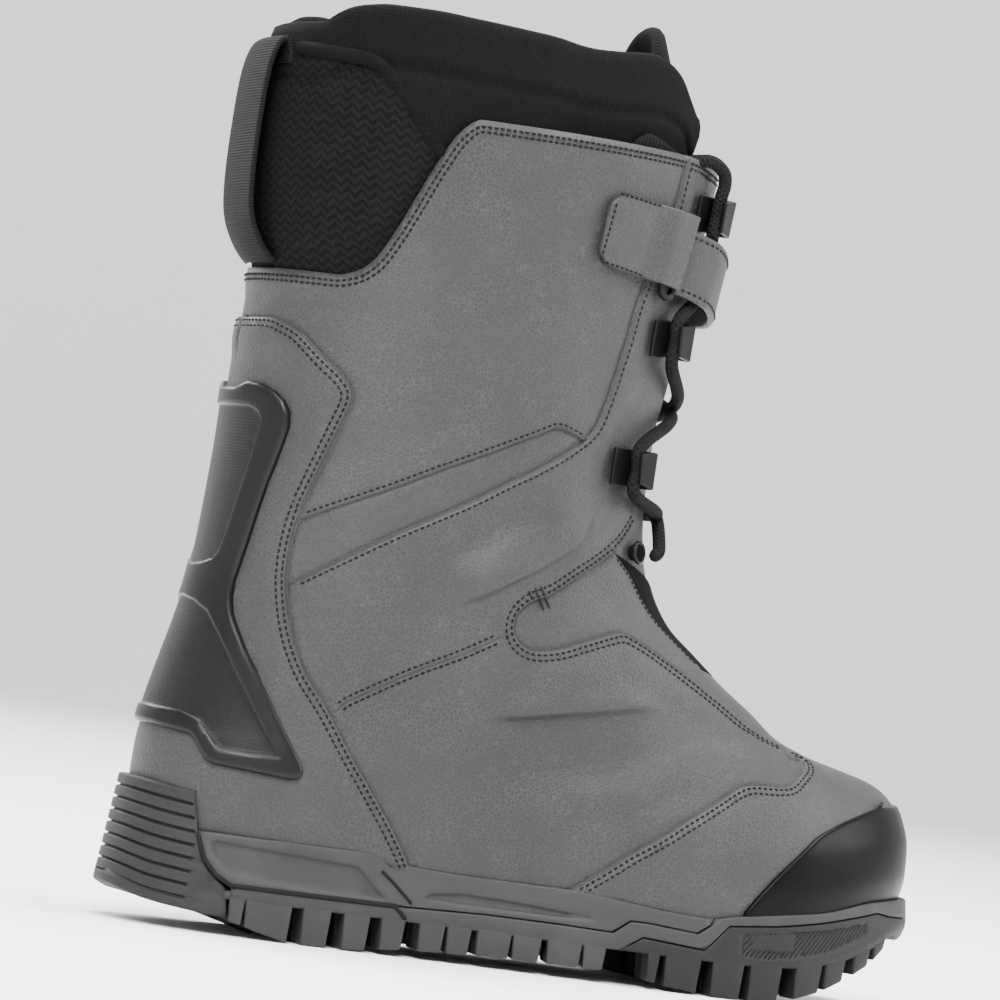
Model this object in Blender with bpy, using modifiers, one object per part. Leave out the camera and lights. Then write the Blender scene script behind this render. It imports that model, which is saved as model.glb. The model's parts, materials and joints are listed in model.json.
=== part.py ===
# Snowmobile boot, right foot, standing empty on its sole.
# X runs from the heel to the toe, Z is up and the outer side of the foot is at -Y.
import math

import bmesh
import bpy
import numpy as np
from mathutils import Matrix, Vector

MM = 0.001

# Driving sizes
SHOE_LENGTH = 322 * MM          # rearmost heel rib to the toe strip
BALL_WIDTH = 119 * MM           # across the sole at the ball
SOLE_HEIGHT = 36 * MM           # floor to the sole's top edge beside the heel
SHAFT_RISE = 282 * MM           # from there to the form's ring behind the shaft's top corner
GAP = 0.3 * MM                  # clearance between pieces that meet
TOE_SHIFT = 6 * MM              # how far the toe tip lies towards the inner side
SIDE_BALANCE = 0.4 * MM         # centres the boot between its outermost points

# Walls and layers
UPPER_WALL = 2.4 * MM
COUNTER_STEP = 1.2 * MM         # the back panel stands this far off the shell
FACING_STEP = 0.8 * MM          # so does the front quarter with its lace facing
LINER_WALL = 4.0 * MM
TONGUE_THICK = 3.5 * MM
LINER_TONGUE_THICK = 4.0 * MM
TOE_CAP_THICK = 1.7 * MM
PLATE_THICK = 2.4 * MM
PLATE_RECESS = 0.9 * MM
INSOLE_THICK = 4.0 * MM
LIP_DEPTH = 2.4 * MM            # the sole's rim stands this far above its bed

# Openings
THROAT_WIDTH = 34 * MM
THROAT_FOOT = 0.345             # where its round lower end starts, as a share of the shaft's rise
THROAT_FOOT_RISE = 0.055
LINER_SLOT_WIDTH = 60 * MM
LINER_SLOT_FOOT = 0.44
LINER_SLOT_RISE = 0.09

# Sole
TREAD_PLATE = 0.3611 * SOLE_HEIGHT   # floor to the underside between the lugs
LUG_REACH = 21 * MM             # from the sole's edge inwards
LUG_TAPER = 0.5 * MM
CENTRE_LUG_HALF = 11 * MM
CENTRE_LUG_LENGTH = 9 * MM
SIDE_CARVE = 1.2 * MM
RIB_COUNT = 9
RIB_DEPTH = 1.3 * MM
RIB_GROOVE = 0.35               # share of a rib's height that its groove's slope takes
SOLE_EDGE = 0.6 * MM            # the bevel round the underside
SOLE_EDGE_RISE = 2 * MM
LUG_INSET = 0.5 * MM
LUG_ROOT = 1 * MM               # how far a lug reaches into the sole
LAST_CENTRE_LUG = 0.86          # the centre row stops where the toe lifts
HEEL_FLARE = 4.4 * MM           # how far the heel ribs lean in over their height
SIDE_LEAN = 1.4 * MM            # the same along the rest of the sole

# Strap, ring, hooks, lace and loop
STRAP_WIDTH = 25 * MM
STRAP_THICK = 2.4 * MM
STRAP_ARCH = 7.6 * MM           # how far it stands off the shell over the lace
ARCH_SPAN = (0.15, 0.245)       # the turns where the arch starts to fall and ends
STRAP_DROP = 9 * MM             # from the ring down to the front
RING_LENGTH = 33 * MM
RING_WIDTH = 9.5 * MM
RING_WIRE = 3.0 * MM
FOLD_WALL = 1.1 * MM            # strap material round the ring's bars
HOOK_LENGTH = 16 * MM
HOOK_REAR = 0.58                # share of its length behind its place
HOOK_HEIGHT = 14 * MM
HOOK_PLATE = 1.5 * MM
HOOK_FACE = 9.5 * MM            # length of the plate that covers the lace
HOOK_LIFT = 0.5 * MM            # the base's own cushion on the curved facing
LACE_WIDTH = 5.0 * MM
LACE_BELOW = 0.66               # how far it stays straight past a hook, in hook heights
LACE_ABOVE = 0.60
LACE_END_ABOVE = 0.53
LACE_CLEAR = 0.90
LACE_CROSSING = (0.28, 0.50, 0.72)
LACE_POINTS = 34                # along each half
LACE_FROM_EYELET = (1.1, 1.4)   # its start in front of the eyelet, in eyelet widths
EYELET_OUTER = 9 * MM
EYELET_TUBE = 1.8 * MM
EYELET_LIFT = 1.3 * MM          # over the hollow of the instep
LOOP_WIDTH = 36 * MM
LOOP_THICK = 2.0 * MM

HALF_BALL = BALL_WIDTH / 2

# Plan of the sole: place along the shoe, then its outer and inner half widths as shares of
# half the ball width
PLAN = (
    (0.00, 0.605, 0.605),
    (0.06, 0.645, 0.630),
    (0.12, 0.690, 0.672),
    (0.20, 0.723, 0.690),
    (0.30, 0.723, 0.647),
    (0.42, 0.773, 0.605),
    (0.52, 0.874, 0.672),
    (0.62, 0.975, 0.815),
    (0.70, 1.017, 0.908),
    (0.78, 0.992, 0.924),
    (0.86, 0.941, 0.899),
    (0.93, 0.891, 0.874),
    (1.00, 0.840, 0.840),
)
PLAN_CENTRE = ((0.0, 0.0), (0.60, 0.0), (0.78, 0.33), (0.90, 0.75), (1.0, 1.0))
HEEL_ROUND = 0.14
TOE_ROUND = 0.24
PLAN_POWER = 2.2

# Side lines of the sole: place along the shoe, height as a share of the sole's height
SEAT_LINE = (
    (0.0, 1.00), (0.084, 1.028), (0.280, 1.028), (0.329, 0.944), (0.419, 0.917), (0.519, 0.917),
    (0.578, 0.875), (0.621, 0.833), (0.683, 0.806), (0.720, 0.861), (0.764, 0.917), (0.835, 1.00),
    (0.922, 1.167), (1.0, 1.222),
)
HEEL_TOP = ((0.0, 1.50), (0.062, 1.43), (0.13, 1.38), (1.0, 1.38))
TREAD_LINE = (
    (0.0, 0.361), (0.037, 0.250), (0.109, 0.178), (0.146, 0.111), (0.186, 0.0), (0.267, 0.0),
    (0.289, 0.025), (0.332, 0.072), (0.379, 0.094), (0.457, 0.122), (0.537, 0.128), (0.571, 0.133),
    (0.602, 0.103), (0.637, 0.056), (0.677, 0.022), (0.696, 0.0), (0.783, 0.0), (0.804, 0.061),
    (0.842, 0.167), (0.876, 0.306), (0.919, 0.511), (0.944, 0.694), (1.0, 0.90),
)
PLATE_LINE = (
    (0.0, 1.05), (0.72, 1.0), (0.80, 1.08), (0.86, 1.35), (0.92, 1.90), (0.96, 2.35), (1.0, 2.50),
)

# Side outlines of the sole's pieces, in the same shares
MIDSOLE_SIDE = (
    (0.0790, 1.10), (0.0790, 1.00), (0.0900, 0.745), (0.1040, 0.605), (0.1230, 0.520), (0.330, 0.520),
    (0.425, 0.548), (0.515, 0.550), (0.570, 0.540), (0.590, 0.678), (0.612, 0.680), (0.670, 0.640),
    (0.686, 0.740), (0.692, 1.10),
)
HEEL_EDGE = ((0.0, 1.52), (0.0655, 1.46), (0.0705, 1.35), (0.0775, 1.11), (0.0800, 1.03))
HEEL_SIDE = (
    (-0.04, 1.70), (0.0640, 1.70), (0.0690, 1.33), (0.0760, 1.09), (0.0780, 1.00), (0.0875, 0.737),
    (0.1010, 0.597), (0.1190, 0.480), (0.1220, -0.1), (-0.04, -0.1),
)
OUTSOLE_SIDE = (
    (0.1245, 0.508), (0.330, 0.508), (0.425, 0.536), (0.515, 0.538), (0.573, 0.528), (0.592, 0.666),
    (0.610, 0.668), (0.674, 0.628), (0.689, 0.732), (0.695, 1.10), (0.76, 1.40), (1.05, 1.40),
    (1.05, 0.80), (0.985, 0.80), (0.975, 1.02), (0.944, 1.03), (0.922, 1.062), (0.835, 0.900),
    (0.773, 0.815), (0.710, 0.760), (0.682, 0.485), (0.607, 0.535), (0.580, 0.300), (0.1245, 0.300),
)
TREAD_SIDE = (
    (0.583, 0.300), (0.609, 0.522), (0.683, 0.473), (0.712, 0.748), (0.773, 0.803), (0.835, 0.888),
    (0.922, 1.050), (0.943, 1.018), (0.973, 1.008), (0.983, 0.79), (1.05, 0.79), (1.05, 0.2),
    (0.583, 0.2),
)
PANEL_CARVE = (
    (0.092, 0.964), (0.271, 0.878), (0.299, 0.636), (0.313, 0.550), (0.273, 0.535), (0.217, 0.535),
    (0.163, 0.560), (0.120, 0.625), (0.096, 0.800),
)
LENS_CARVE = (
    (0.346, 0.620), (0.360, 0.697), (0.396, 0.736), (0.451, 0.722), (0.505, 0.697), (0.542, 0.675),
    (0.560, 0.640), (0.505, 0.610), (0.396, 0.600),
)
TOE_CARVE = (
    (0.728, 0.700), (0.770, 0.745), (0.840, 0.835), (0.905, 0.955), (0.905, 0.800), (0.840, 0.560),
    (0.770, 0.440), (0.728, 0.440),
)

# Lugs along each edge: start and end along the shoe
REAR_LUGS = (
    (0.145, 0.196), (0.213, 0.243), (0.262, 0.290), (0.307, 0.332), (0.352, 0.379), (0.385, 0.410),
    (0.420, 0.4565), (0.4615, 0.491), (0.501, 0.5375), (0.5425, 0.565),
)
FRONT_LUGS = (
    (0.617, 0.628), (0.638, 0.678), (0.696, 0.733), (0.745, 0.783), (0.806, 0.840), (0.849, 0.875),
    (0.892, 0.914), (0.924, 0.940),
)

# Rings of the upper's form, from the sole's bed to above the collar.
# Lengths are shares of the shoe's length, heights above the sole's top edge shares of the shaft's
# rise, widths shares of half the ball width. plan says how far a ring follows the sole's plan.
RING_COLUMNS = ("back", "back_up", "front", "front_up", "width", "plan", "back_round", "front_round")
RINGS = (
    (0.0280, -0.007, 0.9767, 0.014, 0.941, 1.00, 0.30, 0.30),
    (0.0264, 0.035, 0.9845, 0.057, 0.958, 1.00, 0.30, 0.35),
    (0.0258, 0.071, 0.9829, 0.096, 0.950, 0.95, 0.32, 0.40),
    (0.0267, 0.106, 0.9720, 0.135, 0.908, 0.85, 0.34, 0.45),
    (0.0304, 0.138, 0.9565, 0.161, 0.849, 0.70, 0.36, 0.50),
    (0.0351, 0.167, 0.9317, 0.177, 0.815, 0.55, 0.38, 0.50),
    (0.0404, 0.195, 0.8944, 0.188, 0.798, 0.40, 0.40, 0.50),
    (0.0460, 0.223, 0.8478, 0.200, 0.790, 0.25, 0.42, 0.50),
    (0.0528, 0.255, 0.8043, 0.218, 0.790, 0.12, 0.44, 0.50),
    (0.0590, 0.287, 0.7671, 0.248, 0.798, 0.00, 0.45, 0.50),
    (0.0652, 0.323, 0.7236, 0.280, 0.807, 0.00, 0.45, 0.50),
    (0.0693, 0.358, 0.6801, 0.316, 0.815, 0.00, 0.45, 0.50),
    (0.0720, 0.394, 0.6429, 0.349, 0.824, 0.00, 0.45, 0.50),
    (0.0742, 0.433, 0.6149, 0.397, 0.832, 0.00, 0.45, 0.50),
    (0.0761, 0.475, 0.6009, 0.450, 0.840, 0.00, 0.45, 0.50),
    (0.0776, 0.525, 0.5947, 0.521, 0.849, 0.00, 0.45, 0.50),
    (0.0780, 0.578, 0.5947, 0.596, 0.857, 0.00, 0.45, 0.50),
    (0.0795, 0.635, 0.6025, 0.667, 0.874, 0.00, 0.45, 0.50),
    (0.0839, 0.695, 0.6071, 0.741, 0.891, 0.00, 0.45, 0.50),
    (0.0776, 0.777, 0.6149, 0.823, 0.916, 0.00, 0.45, 0.50),
    (0.0668, 0.883, 0.6242, 0.915, 0.958, 0.00, 0.45, 0.50),
    (0.0652, 1.000, 0.6304, 1.000, 0.992, 0.00, 0.45, 0.50),
    (0.0714, 1.135, 0.6087, 1.135, 0.975, 0.00, 0.45, 0.50),
)
FOLLOW_RINGS = 7                # the lowest rings follow the sole's top line
BACK_POWER = 2.15
FRONT_POWER = 2.05
TOP_LEVEL = len(RINGS) - 1      # a level counts the rings

# The mesh that every shell shares, so that nested shells keep their gap between its points
TURN_STEP = 1 / 20
LOW_LEVELS = (0, 1, 2, 3, 4, 5, 6, 7.5, 9, 10.5, 12)
HIGH_ROWS = 4
SOLE_STATIONS = 37
HEEL_STEPS = 6                  # columns each side of the heel in the pieces that wrap it
TOE_STEPS = 8
FACING_STEPS = 17
TONGUE_STEPS = 8
LINER_TONGUE_STEPS = 3
LINER_FIRST_ROW = 9             # the liner and the tongue start behind the instep

# Side lines over the form: place along the shoe, share of the shaft's rise
SHAFT_TOP = (
    (0.0, 0.742), (0.146, 0.742), (0.168, 0.750), (0.183, 0.766), (0.200, 0.805), (0.233, 0.900),
    (0.255, 0.948), (0.276, 0.966), (0.540, 0.970), (0.600, 0.962), (0.66, 0.950),
)
COLLAR_TOP = (
    (0.0, 1.04), (0.084, 1.045), (0.103, 1.078), (0.130, 1.098), (0.165, 1.113), (0.20, 1.118),
    (0.26, 1.112), (0.33, 1.104), (0.42, 1.093), (0.50, 1.095), (0.53, 1.080), (0.56, 1.045), (0.66, 1.00),
)
TONGUE_TOP = (
    (0.0, 0.955), (0.425, 0.958), (0.442, 0.970), (0.463, 0.986), (0.485, 0.992), (0.515, 0.984),
    (0.545, 0.972), (0.60, 0.966), (0.66, 0.962),
)
LINER_TONGUE_TOP = (
    (0.0, 1.07), (0.44, 1.08), (0.455, 1.108), (0.475, 1.124), (0.495, 1.128), (0.520, 1.120),
    (0.545, 1.100), (0.66, 1.07),
)

# Side outlines on the upper, in the same shares
COUNTER_SIDE = (
    (0.323, 0.02), (0.205, 0.202), (0.158, 0.277), (0.143, 0.330), (0.149, 0.372), (0.146, 0.429),
    (0.158, 0.486), (0.171, 0.543), (0.180, 0.589), (0.174, 0.606), (0.146, 0.631), (0.121, 0.660),
    (0.099, 0.674), (0.085, 0.672), (0.078, 0.660), (0.0, 0.655),
)
FACING_SIDE = (
    (0.535, 1.05), (0.530, 0.960), (0.525, 0.890), (0.511, 0.780), (0.497, 0.713), (0.488, 0.663),
    (0.477, 0.610), (0.460, 0.574), (0.410, 0.528), (0.289, 0.443), (0.152, 0.340), (0.160, 0.282),
    (0.186, 0.240), (0.232, 0.213), (0.395, 0.312), (0.404, 0.305), (0.438, 0.287), (0.481, 0.301),
    (0.547, 0.337), (0.634, 0.291), (0.717, 0.248), (0.798, 0.206), (0.90, 0.26), (0.90, 1.05),
)
TOE_CAP_SIDE = (
    (0.722, -0.05), (0.730, 0.007), (0.789, 0.078), (0.823, 0.110), (0.842, 0.121), (0.882, 0.138),
    (0.941, 0.156), (1.05, 0.160), (1.05, -0.05),
)
PLATE_SIDE = (
    (0.0, 0.546), (0.077, 0.550), (0.087, 0.592), (0.106, 0.582), (0.121, 0.567), (0.124, 0.550),
    (0.121, 0.518), (0.112, 0.465), (0.102, 0.362), (0.097, 0.319), (0.099, 0.298), (0.112, 0.262),
    (0.146, 0.195), (0.189, 0.113), (0.192, 0.103), (0.186, 0.092), (0.091, 0.096), (0.084, 0.103),
    (0.075, 0.127), (0.062, 0.135), (0.0, 0.138),
)
PLATE_UPPER_RECESS = (
    (0.0, 0.535), (0.080, 0.540), (0.084, 0.560), (0.097, 0.553), (0.107, 0.538), (0.100, 0.465),
    (0.088, 0.362), (0.0, 0.350),
)
PLATE_LOWER_RECESS = (
    (0.0, 0.318), (0.064, 0.315), (0.072, 0.302), (0.088, 0.277), (0.109, 0.223), (0.137, 0.167),
    (0.168, 0.117), (0.097, 0.117), (0.078, 0.149), (0.062, 0.156), (0.0, 0.160),
)

# Where the side pieces lie: height share of the shaft's rise and turn round the form
HOOKS = ((0.901, 0.165), (0.727, 0.205), (0.550, 0.235))
EYELET_PLACE = (0.440, 0.185)
RING_PLACE = (0.835, 0.250)
TAB_SPAN = (0.395, 0.272)
STRAP_SPAN = (0.228, 0.400)
LOOP_PATH = (
    (0.0695, 1.010), (0.0692, 1.028), (0.0645, 1.042), (0.0570, 1.030), (0.0515, 0.985), (0.0497, 0.920),
    (0.0503, 0.860), (0.0545, 0.812), (0.0630, 0.780), (0.0740, 0.760), (0.0830, 0.751),
)
LOOP_BEND = 56 * MM             # how the webbing's ends curve round the liner


def through(t, places, values):
    # a smooth curve through the table's rows that never overshoots them
    places = np.asarray(places, float)
    values = np.asarray(values, float)
    t = np.clip(np.asarray(t, float), places[0], places[-1])
    step = np.diff(places)
    slope = np.diff(values) / step
    product = slope[:-1] * slope[1:]
    mean = np.where(product > 0, 2 * product / np.where(product > 0, slope[:-1] + slope[1:], 1), 0)
    tangent = np.concatenate(([slope[0]], mean, [slope[-1]]))
    row = np.clip(np.searchsorted(places, t, side="right") - 1, 0, len(step) - 1)
    s = (t - places[row]) / step[row]
    start = (1 + 2 * s) * (1 - s) ** 2 * values[row] + s * (1 - s) ** 2 * step[row] * tangent[row]
    end = s * s * (3 - 2 * s) * values[row + 1] + s * s * (s - 1) * step[row] * tangent[row + 1]
    return start + end


def column(table, index):
    return [row[index] for row in table]


def read(table, t, index=1):
    return through(t, column(table, 0), column(table, index))


def ease(t, start, end):
    s = np.clip((np.asarray(t, float) - start) / (end - start), 0, 1)
    return s * s * (3 - 2 * s)


def rounded(t, length, power):
    # grows from 0 at the tip of an outline to 1 at this length from it
    s = 1 - np.clip(np.asarray(t, float) / length, 0, 1)
    return (1 - s ** power) ** (1 / power)


def plan_half(place, side):
    # half width of the sole's plan as a share of half the ball width
    width = read(PLAN, place, 1 if side < 0 else 2)
    return width * rounded(place, HEEL_ROUND, PLAN_POWER) * rounded(1 - place, TOE_ROUND, PLAN_POWER)


def plan_centre(place):
    return read(PLAN_CENTRE, place) * TOE_SHIFT


def seat_line(x):
    return read(SEAT_LINE, x / SHOE_LENGTH) * SOLE_HEIGHT


def tread_line(x):
    return read(TREAD_LINE, x / SHOE_LENGTH) * SOLE_HEIGHT


def plate_line(x):
    return read(PLATE_LINE, x / SHOE_LENGTH) * TREAD_PLATE


def rise(share):
    return SOLE_HEIGHT + np.asarray(share) * SHAFT_RISE


def form(level, turn):
    # Outer surface of the upper. turn goes from -1 at the heel round the outer side to 0 at the toe
    # and round the inner side to 1 at the heel.
    level, turn = np.broadcast_arrays(np.asarray(level, float), np.asarray(turn, float))
    turn = (turn + 1) % 2 - 1
    rings = {}
    for k, name in enumerate(RING_COLUMNS):
        rings[name] = through(level, range(len(RINGS)), column(RINGS, k))
    along = (1 + np.cos(np.pi * turn)) / 2
    back = rings["back"] * SHOE_LENGTH
    front = rings["front"] * SHOE_LENGTH
    x = back + (front - back) * along
    z = rise(rings["back_up"] + (rings["front_up"] - rings["back_up"]) * along)
    straight = seat_line(back) + (seat_line(front) - seat_line(back)) * along
    z = z + np.clip(1 - level / FOLLOW_RINGS, 0, 1) * (seat_line(x) - straight)
    egg = rounded(along, rings["back_round"], BACK_POWER)
    egg = egg * rounded(1 - along, rings["front_round"], FRONT_POWER)
    plan = np.where(turn < 0, plan_half(along, -1), plan_half(along, 1))
    width = rings["width"] * (rings["plan"] * plan + (1 - rings["plan"]) * egg) * HALF_BALL
    y = np.where(turn < 0, -width, width) + plan_centre(np.clip(x / SHOE_LENGTH, 0, 1))
    return np.stack((x, y, z), -1)


def skin(level, turn, depth):
    # the form moved inwards by depth, square to its surface
    h = 0.002
    higher_ring = np.minimum(np.asarray(level) + h * 10, TOP_LEVEL)
    lower_ring = np.maximum(np.asarray(level) - h * 10, 0)
    up = form(higher_ring, turn) - form(lower_ring, turn)
    round_ = form(level, np.asarray(turn) + h) - form(level, np.asarray(turn) - h)
    normal = np.cross(round_, up)
    normal /= np.linalg.norm(normal, axis=-1, keepdims=True)
    return form(level, turn) - normal * np.asarray(depth)[..., None]


def level_where(turn, height):
    # the level at which the form meets a height, or a line of heights along the shoe, at each turn
    levels = np.linspace(0, TOP_LEVEL, 353)
    found = []
    for one in np.atleast_1d(turn):
        points = form(levels, np.full_like(levels, one))
        wanted = height(points[:, 0]) if callable(height) else height
        found.append(np.interp(0, np.maximum.accumulate(points[:, 2] - wanted), levels))
    return np.array(found)


def side_height(table):
    return lambda x: rise(read(table, x / SHOE_LENGTH))


# Objects
def collection(name):
    made = bpy.data.collections.new(name)
    bpy.context.scene.collection.children.link(made)
    return made


def material(name, colour, roughness, metallic=0.0):
    made = bpy.data.materials.new(name)
    made.use_nodes = True
    shader = made.node_tree.nodes["Principled BSDF"]
    shader.inputs["Base Color"].default_value = (*colour, 1)
    shader.inputs["Roughness"].default_value = roughness
    shader.inputs["Metallic"].default_value = metallic
    made.diffuse_color = (*colour, 1)
    return made


def add(name, bm, look=None):
    # an object from a bmesh, as a part with its material or as a hidden cutter
    bmesh.ops.recalc_face_normals(bm, faces=bm.faces)
    mesh = bpy.data.meshes.new(name)
    bm.to_mesh(mesh)
    bm.free()
    made = bpy.data.objects.new(name, mesh)
    if look:
        mesh.materials.append(look)
        mesh.shade_smooth()
        mesh.set_sharp_from_angle(angle=math.radians(35))
        parts.objects.link(made)
        made.parent = root
    else:
        cutters.objects.link(made)
        made.hide_render = True
        made.display_type = "WIRE"
        made.parent = root
    return made


def boolean(target, tool, operation):
    cut = target.modifiers.new(f"{operation.lower()} {tool.name}", "BOOLEAN")
    cut.operation = operation
    cut.object = tool
    cut.solver = "EXACT"


def grid_faces(bm, rows, closed):
    # quads between rows of points, round each row when it closes
    made = [[bm.verts.new(point) for point in row] for row in rows]
    for low, high in zip(made, made[1:]):
        count = len(low)
        for i in range(count if closed else count - 1):
            j = (i + 1) % count
            bm.faces.new((low[i], low[j], high[j], high[i]))
    return made


def solid_between(rows, name, look=None):
    # a closed solid from rings of points, its two ends filled across from side to side
    bm = bmesh.new()
    made = grid_faces(bm, rows, closed=True)
    for ring in (made[0], made[-1]):
        count = len(ring)
        bm.faces.new((ring[0], ring[1], ring[-1]))
        for i in range(1, count // 2 - 1):
            bm.faces.new((ring[i], ring[i + 1], ring[count - i - 1], ring[count - i]))
        if count % 2:
            middle = count // 2
            bm.faces.new((ring[middle - 1], ring[middle], ring[middle + 1], ring[middle + 2]))
        else:
            middle = count // 2
            bm.faces.new((ring[middle - 1], ring[middle], ring[middle + 1]))
    bmesh.ops.remove_doubles(bm, verts=bm.verts, dist=0.001 * MM)
    return add(name, bm, look)


def surface(rows, name, thickness, look=None, closed=False):
    # an open surface, thickened inwards
    bm = bmesh.new()
    grid_faces(bm, rows, closed)
    made = add(name, bm, look)
    thicken = made.modifiers.new("wall", "SOLIDIFY")
    thicken.thickness = thickness
    thicken.offset = -1
    thicken.use_even_offset = True
    return made


def side_prism(name, outline, base, height):
    # a side outline drawn through the whole width of the shoe
    bm = bmesh.new()
    face = bm.faces.new([
        bm.verts.new((x * SHOE_LENGTH, -BALL_WIDTH, base + z * height)) for x, z in outline
    ])
    moved = bmesh.ops.extrude_face_region(bm, geom=[face])["geom"]
    corners = [item for item in moved if isinstance(item, bmesh.types.BMVert)]
    bmesh.ops.translate(bm, verts=corners, vec=(0, 2 * BALL_WIDTH, 0))
    return add(name, bm)


def sole_prism(name, outline):
    return side_prism(name, outline, 0, SOLE_HEIGHT)


def shaft_prism(name, outline):
    return side_prism(name, outline, SOLE_HEIGHT, SHAFT_RISE)


def above_rim(outline, start, end):
    # closes a side outline along the top of the sole, a gap above it
    low, high = min(start, end), max(start, end)
    rows = {row[0] for row in HEEL_EDGE + SEAT_LINE if low <= row[0] <= high}
    rows -= {place for place in rows if place < HEEL_EDGE[-1][0] and place not in dict(HEEL_EDGE)}
    places = sorted(rows | set(np.linspace(max(low, HEEL_EDGE[-1][0]), high, 9)))
    if start > end:
        places.reverse()
    points = []
    for place in places:
        height = float(seat_line(place * SHOE_LENGTH))
        if place < HEEL_EDGE[-1][0]:
            height = dict(HEEL_EDGE)[place] * SOLE_HEIGHT
        points.append((float(place), (height + GAP - SOLE_HEIGHT) / SHAFT_RISE))
    return tuple(outline) + tuple(points)


# Sole
def plan_rows(stations, inset):
    # points along both edges of the plan, moved inwards by inset
    place = (1 - np.cos(np.linspace(0, np.pi, stations))) / 2
    edges = []
    for side in (-1, 1):
        x = place * SHOE_LENGTH
        y = side * plan_half(place, side) * HALF_BALL + plan_centre(place)
        edges.append(np.stack((x, y), -1))
    ring = np.concatenate((edges[0], edges[1][-2:0:-1]))
    along = np.roll(ring, -1, 0) - np.roll(ring, 1, 0)
    normal = np.stack((-along[:, 1], along[:, 0]), -1)
    normal /= np.linalg.norm(normal, axis=1, keepdims=True)
    depth = inset(ring[:, 0]) if callable(inset) else inset
    return ring + normal * np.broadcast_to(depth, len(ring))[:, None]


def sole_solid(name, layers, stations, look=None):
    # layers hold a height line and an inset, bottom first
    rows = []
    for height, inset in layers:
        flat = plan_rows(stations, inset)
        edge = plan_rows(stations, 0)
        rows.append(np.column_stack((flat, height(edge[:, 0]))))
    return solid_between(rows, name, look)


def lean(x):
    return SIDE_LEAN + (HEEL_FLARE - SIDE_LEAN) * (1 - ease(x / SHOE_LENGTH, 0.0, 0.12))


def seat_plug():
    # what the upper fills of the sole, a gap larger all round
    turns = all_turns()
    rows = []
    for level in LOW_LEVELS[:6]:
        row = skin(np.full_like(turns, level), turns, np.full_like(turns, -GAP))
        row[:, 2] -= (GAP if level == 0 else 0)
        rows.append(row)
    return solid_between(rows, "seat plug")


def side_carver(name, outline):
    # two shallow pockets in the sole's sides within a side outline
    flat = plan_rows(SOLE_STATIONS, SIDE_CARVE)
    inner = np.column_stack((flat, np.full(len(flat), -0.3 * SOLE_HEIGHT)))
    core_rows = [inner, inner + np.array((0, 0, 2 * SOLE_HEIGHT))]
    core = solid_between(core_rows, f"{name} core")
    pocket = sole_prism(name, outline)
    boolean(pocket, core, "DIFFERENCE")
    return pocket


def midsole(look, plug):
    made = sole_solid("midsole", ((plate_line, 0.0), (seat_line, lean)), SOLE_STATIONS, look)
    boolean(made, sole_prism("midsole side", MIDSOLE_SIDE), "INTERSECT")
    boolean(made, plug, "DIFFERENCE")
    boolean(made, side_carver("panel pocket", PANEL_CARVE), "DIFFERENCE")
    boolean(made, side_carver("lens pocket", LENS_CARVE), "DIFFERENCE")
    return made


def heel_wrap(look, plug):
    def layer(t, depth):
        def height(x):
            low = tread_line(x)
            return low + t * (read(HEEL_TOP, x / SHOE_LENGTH) * SOLE_HEIGHT - low)

        return height, HEEL_FLARE * t + depth

    layers = []
    for rib in range(RIB_COUNT):
        layers.append(layer(rib / RIB_COUNT, RIB_DEPTH))
        layers.append(layer((rib + RIB_GROOVE) / RIB_COUNT, 0.0))
    made = sole_solid("heel_wrap", layers, SOLE_STATIONS, look)
    boolean(made, sole_prism("heel side", HEEL_SIDE), "INTERSECT")
    boolean(made, plug, "DIFFERENCE")
    return made


def edge_point(place, side, inset):
    h = 0.002

    def at(p):
        return Vector((p * SHOE_LENGTH, float(side * plan_half(p, side) * HALF_BALL + plan_centre(p)), 0))
    along = (at(place + h) - at(place - h)).normalized()
    inward = Vector((side * along.y, -side * along.x, 0))
    return at(place) + inward * inset


def lug(bm, corners):
    # a cube whose corners are moved to two rows of four points
    made = bmesh.ops.create_cube(bm, size=2)["verts"]
    for vert in made:
        i = (1 if vert.co.x > 0 else 0) + (2 if vert.co.y > 0 else 0)
        vert.co = corners[vert.co.z > 0][i]


def lug_height(place, top):
    x = place * SHOE_LENGTH
    return float(plate_line(x)) + LUG_ROOT if top else float(tread_line(x))


def lugs(name, table):
    bm = bmesh.new()
    for start, end in table:
        for side in (-1, 1):
            rows = []
            for top in (0, 1):
                grow = LUG_TAPER * top / SHOE_LENGTH
                row = []
                for inset in (LUG_INSET + LUG_TAPER * (1 - top), LUG_REACH + LUG_TAPER * top):
                    for place in (start - grow, end + grow):
                        point = edge_point(place, side, inset)
                        point.z = lug_height(place, top)
                        row.append(point)
                rows.append((row[0], row[1], row[2], row[3]))
            lug(bm, rows)
        middle = (start + end) / 2
        half = CENTRE_LUG_LENGTH / 2 / SHOE_LENGTH
        centre = float(plan_centre(middle))
        rows = []
        for top in (0, 1):
            row = []
            for side in (-1, 1):
                y = centre + side * (CENTRE_LUG_HALF + LUG_TAPER * (top - 1))
                for place in (middle - half, middle + half):
                    row.append(Vector((place * SHOE_LENGTH, y, lug_height(place, top))))
            rows.append(tuple(row))
        if end < LAST_CENTRE_LUG:
            lug(bm, rows)
    return add(name, bm)


def edge_line(x):
    return plate_line(x) + SOLE_EDGE_RISE


def outsole(look, plug):
    layers = ((plate_line, SOLE_EDGE), (edge_line, 0.0), (seat_line, lean))
    made = sole_solid("outsole", layers, SOLE_STATIONS, look)
    boolean(made, sole_prism("outsole side", OUTSOLE_SIDE), "INTERSECT")
    boolean(made, lugs("rear lugs", REAR_LUGS), "UNION")
    boolean(made, plug, "DIFFERENCE")
    return made


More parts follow.
